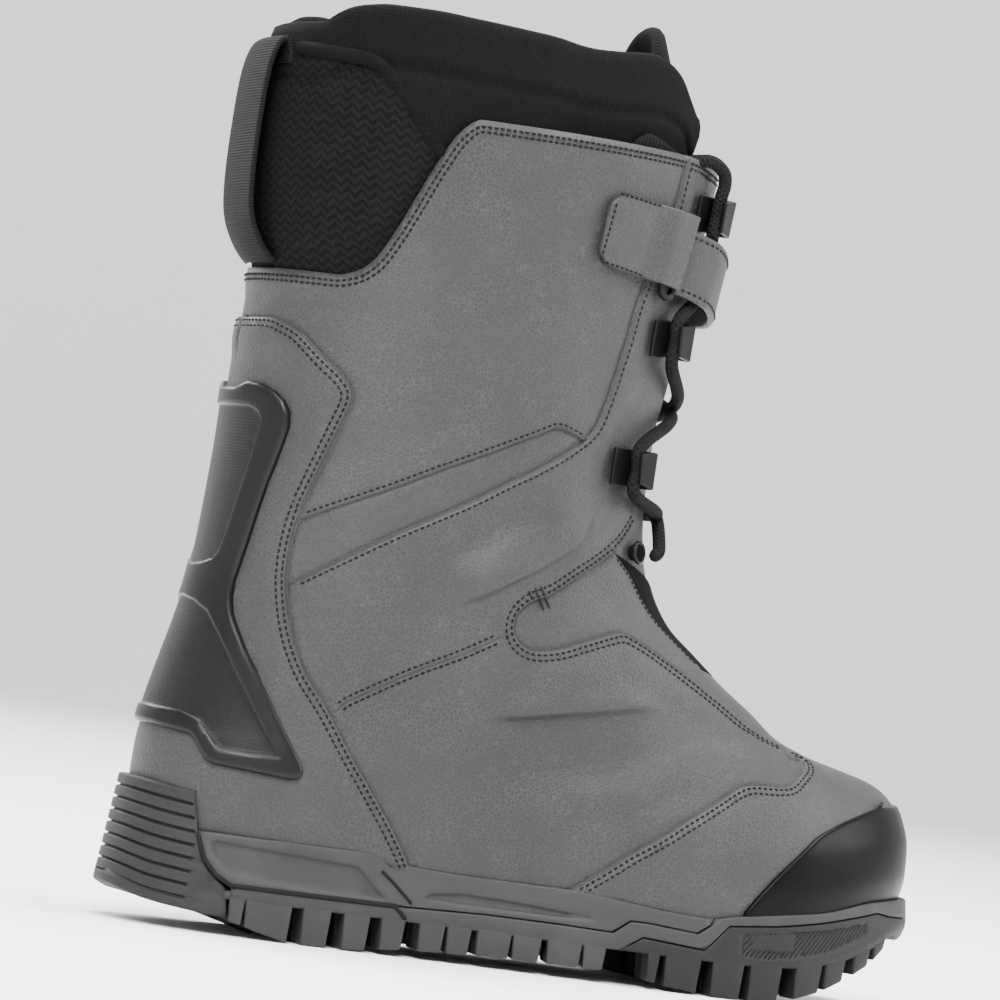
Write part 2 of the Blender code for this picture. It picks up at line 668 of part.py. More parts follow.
def forefoot_tread(look):
    layers = ((plate_line, SOLE_EDGE), (edge_line, 0.0), (seat_line, lean))
    made = sole_solid("forefoot_tread", layers, SOLE_STATIONS, look)
    boolean(made, sole_prism("tread side", TREAD_SIDE), "INTERSECT")
    boolean(made, lugs("front lugs", FRONT_LUGS), "UNION")
    boolean(made, side_carver("toe pocket", TOE_CARVE), "DIFFERENCE")
    return made


def insole(look):
    turns = all_turns()
    rows = []
    for lift in (0, 1):
        level = level_where(turns, lambda x: seat_line(x) - LIP_DEPTH + GAP + lift * INSOLE_THICK)
        row = skin(np.maximum(level, 0.02), turns, np.full_like(turns, UPPER_WALL + 2 * GAP))
        row[:, 2] = seat_line(row[:, 0]) - LIP_DEPTH + GAP + lift * INSOLE_THICK
        rows.append(row)
    return solid_between(rows, "insole", look)


# Upper
def throat_cutter(name, width, bottom, radius):
    # a slot with a round lower end, drawn along the shoe through its front
    half = width / 2
    centre = float(plan_centre(0.62))
    arc = [
        (centre + half * math.sin(a), bottom + radius * (1 - math.cos(a)))
        for a in np.linspace(-math.pi / 2, math.pi / 2, 9)
    ]
    top = rise(1.35)
    outline = [(centre - half, top)] + arc + [(centre + half, top)]
    bm = bmesh.new()
    face = bm.faces.new([bm.verts.new((0.36 * SHOE_LENGTH, y, z)) for y, z in outline])
    moved = bmesh.ops.extrude_face_region(bm, geom=[face])["geom"]
    corners = [item for item in moved if isinstance(item, bmesh.types.BMVert)]
    bmesh.ops.translate(bm, verts=corners, vec=(0.6 * SHOE_LENGTH, 0, 0))
    return add(name, bm)


def all_turns(stride=1):
    # inner shells skip columns: their flats then lie further in and clear the shell round them
    return np.arange(-1, 1, TURN_STEP * stride)


def toe_turns(steps, stride=1):
    # columns each side of the toe
    return np.arange(-steps, steps + 1) * TURN_STEP * stride


def heel_turns(steps):
    # columns round the heel from the outer side to the inner one
    return 1 + toe_turns(steps)


def shell_levels(turns, first=0, last=None):
    # the rows of the upper's mesh, up to the shaft's top edge
    base = LOW_LEVELS[-1]
    top = level_where(turns, side_height(SHAFT_TOP))
    rows = [np.full_like(turns, level) for level in LOW_LEVELS]
    rows += [base + (top - base) * share for share in np.linspace(0, 1, HIGH_ROWS + 1)[1:]]
    rows = rows[first:]
    return rows[:last] if last else rows


def higher(levels, top, count):
    # further rows from the last one up to another top
    low = levels[-1]
    return levels + [low + (top - low) * share for share in np.linspace(0, 1, count + 1)[1:]]


def skinned(levels, turns, depth):
    rows = []
    for row in levels:
        inward = depth(row, turns) if callable(depth) else np.full_like(turns, depth)
        rows.append(skin(row, turns, inward))
    return rows


def overlay(name, levels, turns, outer, thickness, outline, look=None):
    made = surface(skinned(levels, turns, outer), name, thickness, look)
    boolean(made, shaft_prism(f"{name} side", outline), "INTERSECT")
    return made


def upper(look):
    turns = all_turns()
    made = surface(skinned(shell_levels(turns), turns, 0.0), "upper", UPPER_WALL, look, closed=True)
    round_heel = heel_turns(HEEL_STEPS + 3)
    counter = overlay(
        "counter", shell_levels(round_heel), round_heel, -COUNTER_STEP, COUNTER_STEP + 0.5 * UPPER_WALL,
        above_rim(COUNTER_SIDE, 0.0, 0.322),
    )
    round_toe = toe_turns(FACING_STEPS)
    facing = overlay(
        "facing", shell_levels(round_toe), round_toe, -FACING_STEP, FACING_STEP + 0.35 * UPPER_WALL,
        FACING_SIDE,
    )
    boolean(made, counter, "UNION")
    boolean(made, facing, "UNION")
    throat = throat_cutter("throat", THROAT_WIDTH, rise(THROAT_FOOT), THROAT_FOOT_RISE * SHAFT_RISE)
    boolean(made, throat, "DIFFERENCE")
    return made


def liner_depth(level, turn):
    # the liner stands further in where the tongue lies behind the throat
    wrapped = np.abs((np.asarray(turn) + 1) % 2 - 1)
    front = 1 - ease(wrapped, TONGUE_STEPS * TURN_STEP + 0.03, TONGUE_STEPS * TURN_STEP + 0.10)
    return UPPER_WALL + GAP + (TONGUE_THICK + GAP) * front


def liner(look):
    turns = all_turns(2)
    top = level_where(turns, side_height(COLLAR_TOP))
    levels = higher(shell_levels(turns, LINER_FIRST_ROW), top, 3)
    made = surface(skinned(levels, turns, liner_depth), "liner", LINER_WALL, look, closed=True)
    foot, radius = rise(LINER_SLOT_FOOT), LINER_SLOT_RISE * SHAFT_RISE
    boolean(made, throat_cutter("liner slot", LINER_SLOT_WIDTH, foot, radius), "DIFFERENCE")
    return made


def tongue(look):
    turns = toe_turns(TONGUE_STEPS)
    levels = shell_levels(turns, LINER_FIRST_ROW, -1)
    levels = higher(levels, level_where(turns, side_height(TONGUE_TOP)), 1)
    return surface(skinned(levels, turns, UPPER_WALL + GAP), "tongue", TONGUE_THICK, look)


def liner_tongue(look):
    turns = toe_turns(LINER_TONGUE_STEPS, 2)
    depth = UPPER_WALL + TONGUE_THICK + LINER_WALL + 4 * GAP
    levels = higher(shell_levels(turns, 11), level_where(turns, side_height(LINER_TONGUE_TOP)), 3)
    return surface(skinned(levels, turns, depth), "liner_tongue", LINER_TONGUE_THICK, look)


def toe_cap(look):
    outline = TOE_CAP_SIDE[1:-2] + ((1.05, 0.160), (1.05, 0.04)) + above_rim((), 1.0, 0.728)
    turns = toe_turns(TOE_STEPS)
    levels = [row + 0.15 * (1 - min(i, 1)) for i, row in enumerate(shell_levels(turns, 0, 6))]
    return overlay("toe_cap", levels, turns, -GAP - TOE_CAP_THICK, TOE_CAP_THICK, outline, look)


def heel_plate(look):
    outer = -COUNTER_STEP - 1.5 * GAP - PLATE_THICK
    turns = heel_turns(HEEL_STEPS)
    levels = shell_levels(turns, 1)
    made = overlay("heel_plate", levels, turns, outer, PLATE_THICK, PLATE_SIDE, look)
    for name, outline in (("upper recess", PLATE_UPPER_RECESS), ("lower recess", PLATE_LOWER_RECESS)):
        pocket = overlay(name, levels, turns, outer - MM, MM + PLATE_RECESS, outline)
        boolean(made, pocket, "DIFFERENCE")
    return made


# Strap, ring, hooks and lace
def place_on(share, turn, height=0.0):
    # where a piece sits on the form: its point, and the directions forward, up and out
    turn = float(turn)
    level = float(level_where(turn, rise(share))[0])
    h = 0.004
    point = Vector(skin(level, turn, 0.0))
    forward = Vector(form(level, turn * (1 - h)) - form(level, turn * (1 + h))).normalized()
    up = Vector(form(level + 0.05, turn) - form(level - 0.05, turn)).normalized()
    out = forward.cross(up).normalized() * (1 if turn < 0 else -1)
    up = (out.cross(forward) if turn < 0 else forward.cross(out)).normalized()
    return point + out * height, forward, up, out


def strap_centre(turn):
    # height of the strap's middle, falling towards the front of the boot
    return RING_PLACE[0] - STRAP_DROP / SHAFT_RISE * (1 - ease(np.abs(turn), 0.0, RING_PLACE[1] + 0.02))


def strap_surface(name, start, end, count, depth, look):
    turns = np.linspace(start, end, count)
    rows = []
    for share in np.linspace(-0.5, 0.5, 3):
        height = rise(strap_centre(turns)) + share * STRAP_WIDTH
        level = np.array([level_where(turn, h)[0] for turn, h in zip(turns, height)])
        rows.append(skin(level, turns, depth(turns)))
    return surface(rows, name, STRAP_THICK, look)


def ring_bar(offset, length):
    # an end of the ring's long bar, in the ring's own plane
    point, forward, up, out = place_on(RING_PLACE[0], -RING_PLACE[1], ring_height())
    return point + forward * offset + up * length


def ring_height():
    return FACING_STEP + GAP + RING_WIRE / 2 + FOLD_WALL + GAP


def rod(name, start, end, radius, look=None):
    bm = bmesh.new()
    axis = end - start
    bmesh.ops.create_cone(bm, cap_ends=True, segments=14, radius1=radius, radius2=radius, depth=axis.length)
    turn_ = axis.to_track_quat("Z", "Y").to_matrix().to_4x4()
    bmesh.ops.transform(bm, matrix=Matrix.Translation((start + end) / 2) @ turn_, verts=bm.verts)
    return add(name, bm, look)


def tube(name, points, radius, look=None, cyclic=False, resolution=1):
    # a wire or lace: a curve with a round bevel, made a mesh and welded
    curve = bpy.data.curves.new(name, "CURVE")
    curve.dimensions = "3D"
    curve.bevel_depth = radius
    curve.bevel_resolution = resolution
    curve.use_fill_caps = True
    spline = curve.splines.new("POLY")
    spline.points.add(len(points) - 1)
    for item, point in zip(spline.points, points):
        item.co = (*point, 1)
    spline.use_cyclic_u = cyclic
    drawn = bpy.data.objects.new(name, curve)
    cutters.objects.link(drawn)
    bpy.context.view_layer.update()
    mesh = bpy.data.meshes.new_from_object(drawn.evaluated_get(bpy.context.evaluated_depsgraph_get()))
    bpy.data.objects.remove(drawn)
    bm = bmesh.new()
    bm.from_mesh(mesh)
    bpy.data.meshes.remove(mesh)
    bmesh.ops.remove_doubles(bm, verts=bm.verts, dist=0.01 * MM)
    return add(name, bm, look)


def strap_and_ring(leather, metal):
    half_wire = RING_WIRE / 2
    bar = RING_WIDTH / 2 - half_wire
    reach = RING_LENGTH / 2 - half_wire
    corner = bar
    path = []
    for side in (1, -1):
        for a in np.linspace(0, math.pi, 7):
            length = side * (reach - corner + corner * math.sin(a))
            path.append(ring_bar(side * corner * math.cos(a), length))
    tube("strap_ring", path, half_wire, metal, cyclic=True)
    under = FACING_STEP + GAP + STRAP_THICK

    def tab_depth(turns):
        return np.full_like(turns, -under)

    def strap_depth(turns):
        arch = 1 - ease(np.abs(turns), *ARCH_SPAN)
        return -under - STRAP_ARCH * arch

    pieces = (
        ("strap_tab", -TAB_SPAN[0], -TAB_SPAN[1], 9, tab_depth, -bar),
        ("strap", -STRAP_SPAN[0], STRAP_SPAN[1], 27, strap_depth, bar),
    )
    for name, start, end, count, depth, offset in pieces:
        made = strap_surface(name, start, end, count, depth, leather)
        half = STRAP_WIDTH / 2 - 2 * GAP
        low, high = ring_bar(offset, -half), ring_bar(offset, half)
        boolean(made, rod(f"{name} fold", low, high, half_wire + GAP + FOLD_WALL), "UNION")
        low, high = ring_bar(offset, -2 * half), ring_bar(offset, 2 * half)
        boolean(made, rod(f"{name} bar", low, high, half_wire + GAP), "DIFFERENCE")


def hook(name, share, turn, look):
    # a plate folded over itself, open to the rear, drawn flat and extruded over its height
    channel = LACE_WIDTH + 4 * GAP
    back = -HOOK_LENGTH * HOOK_REAR
    front = HOOK_LENGTH * (1 - HOOK_REAR)
    face = front - HOOK_FACE
    outline = (
        (back, 0), (front, 0), (front, 2 * HOOK_PLATE + channel), (face, 2 * HOOK_PLATE + channel),
        (face, HOOK_PLATE + channel), (front - HOOK_PLATE, HOOK_PLATE + channel),
        (front - HOOK_PLATE, HOOK_PLATE), (back, HOOK_PLATE),
    )
    point, forward, up, out = place_on(share, turn, FACING_STEP + GAP + HOOK_LIFT)
    bm = bmesh.new()
    bottom = bm.faces.new([bm.verts.new((a, b, -HOOK_HEIGHT / 2)) for a, b in outline])
    moved = bmesh.ops.extrude_face_region(bm, geom=[bottom])["geom"]
    corners = [item for item in moved if isinstance(item, bmesh.types.BMVert)]
    bmesh.ops.translate(bm, verts=corners, vec=(0, 0, HOOK_HEIGHT))
    frame = Matrix((forward, out, up)).transposed().to_4x4()
    frame.translation = point
    bmesh.ops.transform(bm, matrix=frame, verts=bm.verts)
    return add(name, bm, look)


def eyelet(name, share, turn, look):
    point, forward, up, out = place_on(share, turn, FACING_STEP + GAP + EYELET_LIFT + EYELET_TUBE / 2)
    radius = (EYELET_OUTER - EYELET_TUBE) / 2
    path = [
        point + forward * radius * math.cos(a) + up * radius * math.sin(a)
        for a in np.linspace(0, 2 * math.pi, 13)[:-1]
    ]
    return tube(name, path, EYELET_TUBE / 2, look, cyclic=True)


def lace_route(side):
    # one half of the lace: from the eyelet, then hook by hook from side to side
    over = FACING_STEP + 2 * GAP + LACE_WIDTH / 2
    channel = FACING_STEP + HOOK_LIFT + 3 * GAP + HOOK_PLATE + LACE_WIDTH / 2
    stops = [EYELET_PLACE] + [HOOKS[i] for i in (2, 1, 0)]
    points = []
    for step, (share, turn) in enumerate(stops):
        hand = side if step % 2 == 0 else -side
        if step:
            point, forward, up, out = place_on(share, hand * turn, channel)
            back_from_neck = HOOK_PLATE + 5 * GAP + LACE_WIDTH / 2
            sit = point + forward * (HOOK_LENGTH * (1 - HOOK_REAR) - back_from_neck)
            above = LACE_ABOVE if step < 3 else LACE_END_ABOVE
            points += [sit - up * HOOK_HEIGHT * LACE_BELOW, sit, sit + up * HOOK_HEIGHT * above]
        else:
            point, forward, up, out = place_on(share, hand * turn, over + EYELET_LIFT)
            points.append(point + forward * EYELET_OUTER * LACE_FROM_EYELET[0])
            points.append(point + forward * EYELET_OUTER * LACE_FROM_EYELET[1] + up * LACE_WIDTH * 0.6)
        if step < 3:
            next_share, next_turn = stops[step + 1]
            start, end = hand * turn, -hand * next_turn
            lift = HOOK_HEIGHT * LACE_CLEAR / SHAFT_RISE
            for part_way in LACE_CROSSING:
                height = share + lift + (next_share - share - 2 * lift) * part_way
                turn_here = start + (end - start) * part_way
                if abs(turn_here) < 0.001:
                    turn_here = -0.001
                points.append(place_on(height, turn_here, over + GAP)[0])
    return points


def smooth_path(points, count):
    # an even run of points along a smooth curve through the route
    places = np.array([tuple(p) for p in points])
    steps = np.concatenate(([0], np.cumsum(np.linalg.norm(np.diff(places, axis=0), axis=1) ** 0.5)))
    padded = np.concatenate((2 * places[:1] - places[1:2], places, 2 * places[-1:] - places[-2:-1]))
    made = []
    for t in np.linspace(0, steps[-1], count):
        i = min(int(np.searchsorted(steps, t, side="right")) - 1, len(places) - 2)
        s = (t - steps[i]) / (steps[i + 1] - steps[i])
        a, b, c, d = padded[i:i + 4]
        bend = (2 * a - 5 * b + 4 * c - d) * s * s + (3 * b - a - 3 * c + d) * s ** 3
        made.append(0.5 * (2 * b + (c - a) * s + bend))
    return [Vector(p) for p in made]


def lace(look):
    first = tube("lace", smooth_path(lace_route(-1), LACE_POINTS), LACE_WIDTH / 2, look)
    second = tube("lace half", smooth_path(lace_route(1), LACE_POINTS), LACE_WIDTH / 2)
    boolean(first, second, "UNION")
    return first


def pull_loop(look):
    path = smooth_path([Vector((x * SHOE_LENGTH, 0, rise(z))) for x, z in LOOP_PATH], 16)
    rows = []
    for i, point in enumerate(path):
        before, after = path[max(i - 1, 0)], path[min(i + 1, len(path) - 1)]
        along = (after - before).normalized()
        across = Vector((along.z, 0, -along.x))
        end = min(i, len(path) - 1 - i) / len(path)
        bend = 1.0 - 0.75 * float(ease(end, 0.05, 0.3))
        ring = []
        for side in (-0.5, 0.5):
            for y in (np.linspace(-1, 1, 3) if side < 0 else np.linspace(1, -1, 3)):
                sag = (y * LOOP_WIDTH / 2) ** 2 / (2 * LOOP_BEND) * bend
                ring.append(point + across * side * LOOP_THICK + Vector((sag, y * LOOP_WIDTH / 2, 0)))
        rows.append(ring)
    bm = bmesh.new()
    made = grid_faces(bm, rows, closed=True)
    for ring in (made[0], made[-1]):
        bm.faces.new((ring[0], ring[1], ring[4], ring[5]))
        bm.faces.new((ring[1], ring[2], ring[3], ring[4]))
    return add("pull_loop", bm, look)


for old in list(bpy.data.objects):
    bpy.data.objects.remove(old)
parts = collection("snowmobile_boot")
cutters = collection("cutters")
root = bpy.data.objects.new("boot_origin", None)
parts.objects.link(root)

grey_leather = material("grey leather", (0.185, 0.181, 0.188), 0.55)
black_knit = material("black knit", (0.022, 0.021, 0.021), 0.9)
black_mesh = material("black mesh", (0.030, 0.029, 0.029), 0.85)
black_rubber = material("black rubber", (0.020, 0.019, 0.020), 0.4)
black_plastic = material("black plastic", (0.035, 0.032, 0.031), 0.45)
sole_grey = material("sole grey", (0.155, 0.153, 0.153), 0.6)
tread_grey = material("tread grey", (0.105, 0.102, 0.104), 0.65)
dark_tread = material("dark tread", (0.045, 0.044, 0.044), 0.7)
rib_grey = material("rib grey", (0.085, 0.082, 0.081), 0.65)
black_metal = material("black metal", (0.012, 0.012, 0.012), 0.35, 0.6)
lace_black = material("lace black", (0.015, 0.015, 0.015), 0.85)
webbing = material("black webbing", (0.024, 0.022, 0.022), 0.8)
foam = material("insole foam", (0.05, 0.05, 0.05), 0.9)

plug = seat_plug()
heel_wrap(rib_grey, plug)
midsole(sole_grey, plug)
outsole(tread_grey, plug)
forefoot_tread(dark_tread)
insole(foam)
upper(grey_leather)
liner(black_knit)
tongue(black_mesh)
liner_tongue(black_mesh)
toe_cap(black_rubber)
heel_plate(black_plastic)
strap_and_ring(grey_leather, black_metal)
for row, (share, turn) in enumerate(HOOKS, 1):
    hook(f"hook_outer_{row}", share, -turn, black_metal)
    hook(f"hook_inner_{row}", share, turn, black_metal)
eyelet("eyelet_outer", EYELET_PLACE[0], -EYELET_PLACE[1], black_metal)
eyelet("eyelet_inner", EYELET_PLACE[0], EYELET_PLACE[1], black_metal)
lace(lace_black)
pull_loop(webbing)

root.location = (-SHOE_LENGTH / 2, SIDE_BALANCE, 0)
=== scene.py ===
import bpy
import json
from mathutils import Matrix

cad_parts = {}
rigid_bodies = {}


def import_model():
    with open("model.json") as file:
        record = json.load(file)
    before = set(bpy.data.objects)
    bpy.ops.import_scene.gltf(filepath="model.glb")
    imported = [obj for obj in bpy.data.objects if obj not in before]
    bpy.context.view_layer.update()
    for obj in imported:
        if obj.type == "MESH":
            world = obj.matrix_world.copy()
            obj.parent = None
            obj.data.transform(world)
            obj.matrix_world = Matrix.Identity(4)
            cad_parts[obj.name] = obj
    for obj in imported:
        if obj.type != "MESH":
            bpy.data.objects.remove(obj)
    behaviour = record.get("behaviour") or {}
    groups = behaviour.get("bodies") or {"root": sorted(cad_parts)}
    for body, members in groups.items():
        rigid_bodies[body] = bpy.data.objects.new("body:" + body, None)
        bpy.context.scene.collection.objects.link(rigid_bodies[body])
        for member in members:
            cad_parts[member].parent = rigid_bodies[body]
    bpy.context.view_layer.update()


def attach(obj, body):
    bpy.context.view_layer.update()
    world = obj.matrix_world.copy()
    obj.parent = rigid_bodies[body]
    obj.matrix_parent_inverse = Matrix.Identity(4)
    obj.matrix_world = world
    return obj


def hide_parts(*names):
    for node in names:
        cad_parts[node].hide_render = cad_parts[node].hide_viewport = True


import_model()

import json
import math

import bmesh
import bpy
import numpy as np
from mathutils import Matrix, Vector
from mathutils.bvhtree import BVHTree
from mathutils.geometry import delaunay_2d_cdt
from mathutils.kdtree import KDTree

mm = 0.001

# The boot's form, in shares as in the part's own source: the same tables give the same skin.
form = dict(
    length=322 * mm, ball=119 * mm, soleTop=36 * mm, rise=282 * mm, toeShift=6 * mm,
    origin=(-161 * mm, 0.4 * mm, 0.0), follow=7, backPower=2.15, frontPower=2.05,
    plan=(
        (0.00, 0.605, 0.605), (0.06, 0.645, 0.630), (0.12, 0.690, 0.672), (0.20, 0.723, 0.690),
        (0.30, 0.723, 0.647), (0.42, 0.773, 0.605), (0.52, 0.874, 0.672), (0.62, 0.975, 0.815),
        (0.70, 1.017, 0.908), (0.78, 0.992, 0.924), (0.86, 0.941, 0.899), (0.93, 0.891, 0.874),
        (1.00, 0.840, 0.840),
    ),
    centre=((0.0, 0.0), (0.60, 0.0), (0.78, 0.33), (0.90, 0.75), (1.0, 1.0)),
    heelRound=0.14, toeRound=0.24, planPower=2.2,
    seat=(
        (0.0, 1.00), (0.084, 1.028), (0.280, 1.028), (0.329, 0.944), (0.419, 0.917), (0.519, 0.917),
        (0.578, 0.875), (0.621, 0.833), (0.683, 0.806), (0.720, 0.861), (0.764, 0.917), (0.835, 1.00),
        (0.922, 1.167), (1.0, 1.222),
    ),
    shaftTop=(
        (0.0, 0.742), (0.146, 0.742), (0.168, 0.750), (0.183, 0.766), (0.200, 0.805), (0.233, 0.900),
        (0.255, 0.948), (0.276, 0.966), (0.540, 0.970), (0.600, 0.962), (0.66, 0.950),
    ),
    tongueTop=(
        (0.0, 0.955), (0.425, 0.958), (0.442, 0.970), (0.463, 0.986), (0.485, 0.992), (0.515, 0.984),
        (0.545, 0.972), (0.60, 0.966), (0.66, 0.962),
    ),
)
ringNames = ("back", "backUp", "front", "frontUp", "width", "plan", "backRound", "frontRound")
rings = (
    (0.0280, -0.007, 0.9767, 0.014, 0.941, 1.00, 0.30, 0.30),
    (0.0264, 0.035, 0.9845, 0.057, 0.958, 1.00, 0.30, 0.35),
    (0.0258, 0.071, 0.9829, 0.096, 0.950, 0.95, 0.32, 0.40),
    (0.0267, 0.106, 0.9720, 0.135, 0.908, 0.85, 0.34, 0.45),
    (0.0304, 0.138, 0.9565, 0.161, 0.849, 0.70, 0.36, 0.50),
    (0.0351, 0.167, 0.9317, 0.177, 0.815, 0.55, 0.38, 0.50),
    (0.0404, 0.195, 0.8944, 0.188, 0.798, 0.40, 0.40, 0.50),
    (0.0460, 0.223, 0.8478, 0.200, 0.790, 0.25, 0.42, 0.50),
    (0.0528, 0.255, 0.8043, 0.218, 0.790, 0.12, 0.44, 0.50),
    (0.0590, 0.287, 0.7671, 0.248, 0.798, 0.00, 0.45, 0.50),
    (0.0652, 0.323, 0.7236, 0.280, 0.807, 0.00, 0.45, 0.50),
    (0.0693, 0.358, 0.6801, 0.316, 0.815, 0.00, 0.45, 0.50),
    (0.0720, 0.394, 0.6429, 0.349, 0.824, 0.00, 0.45, 0.50),
    (0.0742, 0.433, 0.6149, 0.397, 0.832, 0.00, 0.45, 0.50),
    (0.0761, 0.475, 0.6009, 0.450, 0.840, 0.00, 0.45, 0.50),
    (0.0776, 0.525, 0.5947, 0.521, 0.849, 0.00, 0.45, 0.50),
    (0.0780, 0.578, 0.5947, 0.596, 0.857, 0.00, 0.45, 0.50),
    (0.0795, 0.635, 0.6025, 0.667, 0.874, 0.00, 0.45, 0.50),
    (0.0839, 0.695, 0.6071, 0.741, 0.891, 0.00, 0.45, 0.50),
    (0.0776, 0.777, 0.6149, 0.823, 0.916, 0.00, 0.45, 0.50),
    (0.0668, 0.883, 0.6242, 0.915, 0.958, 0.00, 0.45, 0.50),
    (0.0652, 1.000, 0.6304, 1.000, 0.992, 0.00, 0.45, 0.50),
    (0.0714, 1.135, 0.6087, 1.135, 0.975, 0.00, 0.45, 0.50),
)
topLevel = len(rings) - 1


def through(t, places, values):  # smooth curve through table rows, no overshoot
    places = np.asarray(places, float)
    values = np.asarray(values, float)
    t = np.clip(np.asarray(t, float), places[0], places[-1])
    step = np.diff(places)
    slope = np.diff(values) / step
    product = slope[:-1] * slope[1:]
    mean = np.where(product > 0, 2 * product / np.where(product > 0, slope[:-1] + slope[1:], 1), 0)
    tangent = np.concatenate(([slope[0]], mean, [slope[-1]]))
    row = np.clip(np.searchsorted(places, t, side="right") - 1, 0, len(step) - 1)
    s = (t - places[row]) / step[row]
    low = (1 + 2 * s) * (1 - s) ** 2 * values[row] + s * (1 - s) ** 2 * step[row] * tangent[row]
    return low + s * s * (3 - 2 * s) * values[row + 1] + s * s * (s - 1) * step[row] * tangent[row + 1]


def read(table, t, index=1):
    return through(t, [row[0] for row in table], [row[index] for row in table])


def ease(t, start, end):
    s = np.clip((np.asarray(t, float) - start) / (end - start), 0, 1)
    return s * s * (3 - 2 * s)


def rounded(t, length, power):
    s = 1 - np.clip(np.asarray(t, float) / length, 0, 1)
    return (1 - s ** power) ** (1 / power)


def planHalf(place, side):
    wide = read(form["plan"], place, 1 if side < 0 else 2)
    wide = wide * rounded(place, form["heelRound"], form["planPower"])
    return wide * rounded(1 - place, form["toeRound"], form["planPower"])


def planCentre(place):
    return read(form["centre"], place) * form["toeShift"]


def seatLine(x):
    return read(form["seat"], x / form["length"]) * form["soleTop"]


def rise(share):
    return form["soleTop"] + np.asarray(share) * form["rise"]


def heightLine(table):
    return lambda x: rise(read(form[table], x / form["length"]))


def bare(level, turn):  # the form's surface, x from the heel
    level, turn = np.broadcast_arrays(np.asarray(level, float), np.asarray(turn, float))
    turn = (turn + 1) % 2 - 1
    ring = {name: through(level, range(len(rings)), [row[k] for row in rings]) for k,
        name in enumerate(ringNames)}
    along = (1 + np.cos(np.pi * turn)) / 2
    back, front = ring["back"] * form["length"], ring["front"] * form["length"]
    x = back + (front - back) * along
    z = rise(ring["backUp"] + (ring["frontUp"] - ring["backUp"]) * along)
    straight = seatLine(back) + (seatLine(front) - seatLine(back)) * along
    z = z + np.clip(1 - level / form["follow"], 0, 1) * (seatLine(x) - straight)
    egg = rounded(along, ring["backRound"], form["backPower"])
    egg = egg * rounded(1 - along, ring["frontRound"], form["frontPower"])
    plan = np.where(turn < 0, planHalf(along, -1), planHalf(along, 1))
    wide = ring["width"] * (ring["plan"] * plan + (1 - ring["plan"]) * egg) * form["ball"] / 2
    y = np.where(turn < 0, -wide, wide) + planCentre(np.clip(x / form["length"], 0, 1))
    return np.stack((x, y, z), -1)


def slopes(level, turn):  # how the surface runs round and up, and its outward normal
    level, turn = np.broadcast_arrays(np.asarray(level, float), np.asarray(turn, float))
    h = 0.002
    high, low = np.minimum(level + 10 * h, topLevel), np.maximum(level - 10 * h, 0)
    up = (bare(high, turn) - bare(low, turn)) / (high - low)[..., None]
    round_ = (bare(level, turn + h) - bare(level, turn - h)) / (2 * h)
    normal = np.cross(round_, up)
    return round_, up, normal / np.linalg.norm(normal, axis=-1, keepdims=True)


def skin(level, turn, lift=0.0):  # world points this far outside the form
    normal = slopes(level, turn)[2]
    return bare(level, turn) + normal * np.asarray(lift)[..., None] + np.array(form["origin"])


def levelWhere(turn, height):
    levels = np.linspace(0, topLevel, 353)
    found = []
    for one in np.atleast_1d(turn):
        points = bare(levels, np.full_like(levels, one))
        wanted = height(points[:, 0]) if callable(height) else height
        found.append(np.interp(0, np.maximum.accumulate(points[:, 2] - wanted), levels))
    return np.array(found)


# The photograph's camera
shot = dict(azimuth=-19.15, height=-1.35, roll=7.93, distance=2.2, scale=2640.0, aim=(0.0, 0.0, 0.170),
    aimPixel=(562.6, 517.8))
turnAngle, tipAngle, rollAngle = (math.radians(shot[key]) for key in ("azimuth", "height", "roll"))
side = Vector((math.cos(turnAngle), math.sin(turnAngle), 0))
look = Vector((-side.y * math.cos(tipAngle), side.x * math.cos(tipAngle), -math.sin(tipAngle)))
upright = side.cross(look)
cameraX = side * math.cos(rollAngle) + upright * math.sin(rollAngle)
cameraY = upright * math.cos(rollAngle) - side * math.sin(rollAngle)
cameraPlace = Vector(shot["aim"]) - look * shot["distance"]
focal = shot["scale"] * shot["distance"]  # in pixels
cameraData = bpy.data.cameras.new("photoCamera")
cameraData.sensor_width = 36
cameraData.lens = focal * 36 / 1000
cameraData.shift_x = -(shot["aimPixel"][0] - 500) / 1000
cameraData.shift_y = (shot["aimPixel"][1] - 500) / 1000
cameraData.clip_end = 50
camera = bpy.data.objects.new("photoCamera", cameraData)
cameraTurn = Matrix((cameraX, cameraY, -look)).transposed()
camera.matrix_world = Matrix.Translation(cameraPlace) @ cameraTurn.to_4x4()
bpy.context.scene.collection.objects.link(camera)
bpy.context.scene.camera = camera


def formTree(turnCount=360, levelCount=200):
    turns = np.linspace(-1, 1, turnCount + 1)[:-1]
    levels = np.linspace(0, topLevel, levelCount)
    points = skin(levels[:, None], turns[None, :], 0.0).reshape(-1, 3)
    faces = []
    for j in range(levelCount - 1):
        for i in range(turnCount):
            k = (i + 1) % turnCount
            faces.append((j * turnCount + i, j * turnCount + k, (j + 1) * turnCount + k,
                (j + 1) * turnCount + i))
    return BVHTree.FromPolygons([Vector(p) for p in points], faces), turns, levels


tree, treeTurns, treeLevels = formTree()


def settle(level, turn, target):  # closest (turn, level) to world points
    goal = np.asarray(target) - np.array(form["origin"])
    for _ in range(6):
        round_, up, _n = slopes(level, turn)
        gap = goal - bare(level, turn)
        a, b, c = (round_ * round_).sum(-1), (round_ * up).sum(-1), (up * up).sum(-1)
        d, e = (round_ * gap).sum(-1), (up * gap).sum(-1)
        area = a * c - b * b
        turn = turn + np.clip((c * d - b * e) / area, -0.03, 0.03)
        level = np.clip(level + np.clip((a * e - b * d) / area, -0.5, 0.5), 0, topLevel)
    return level, turn


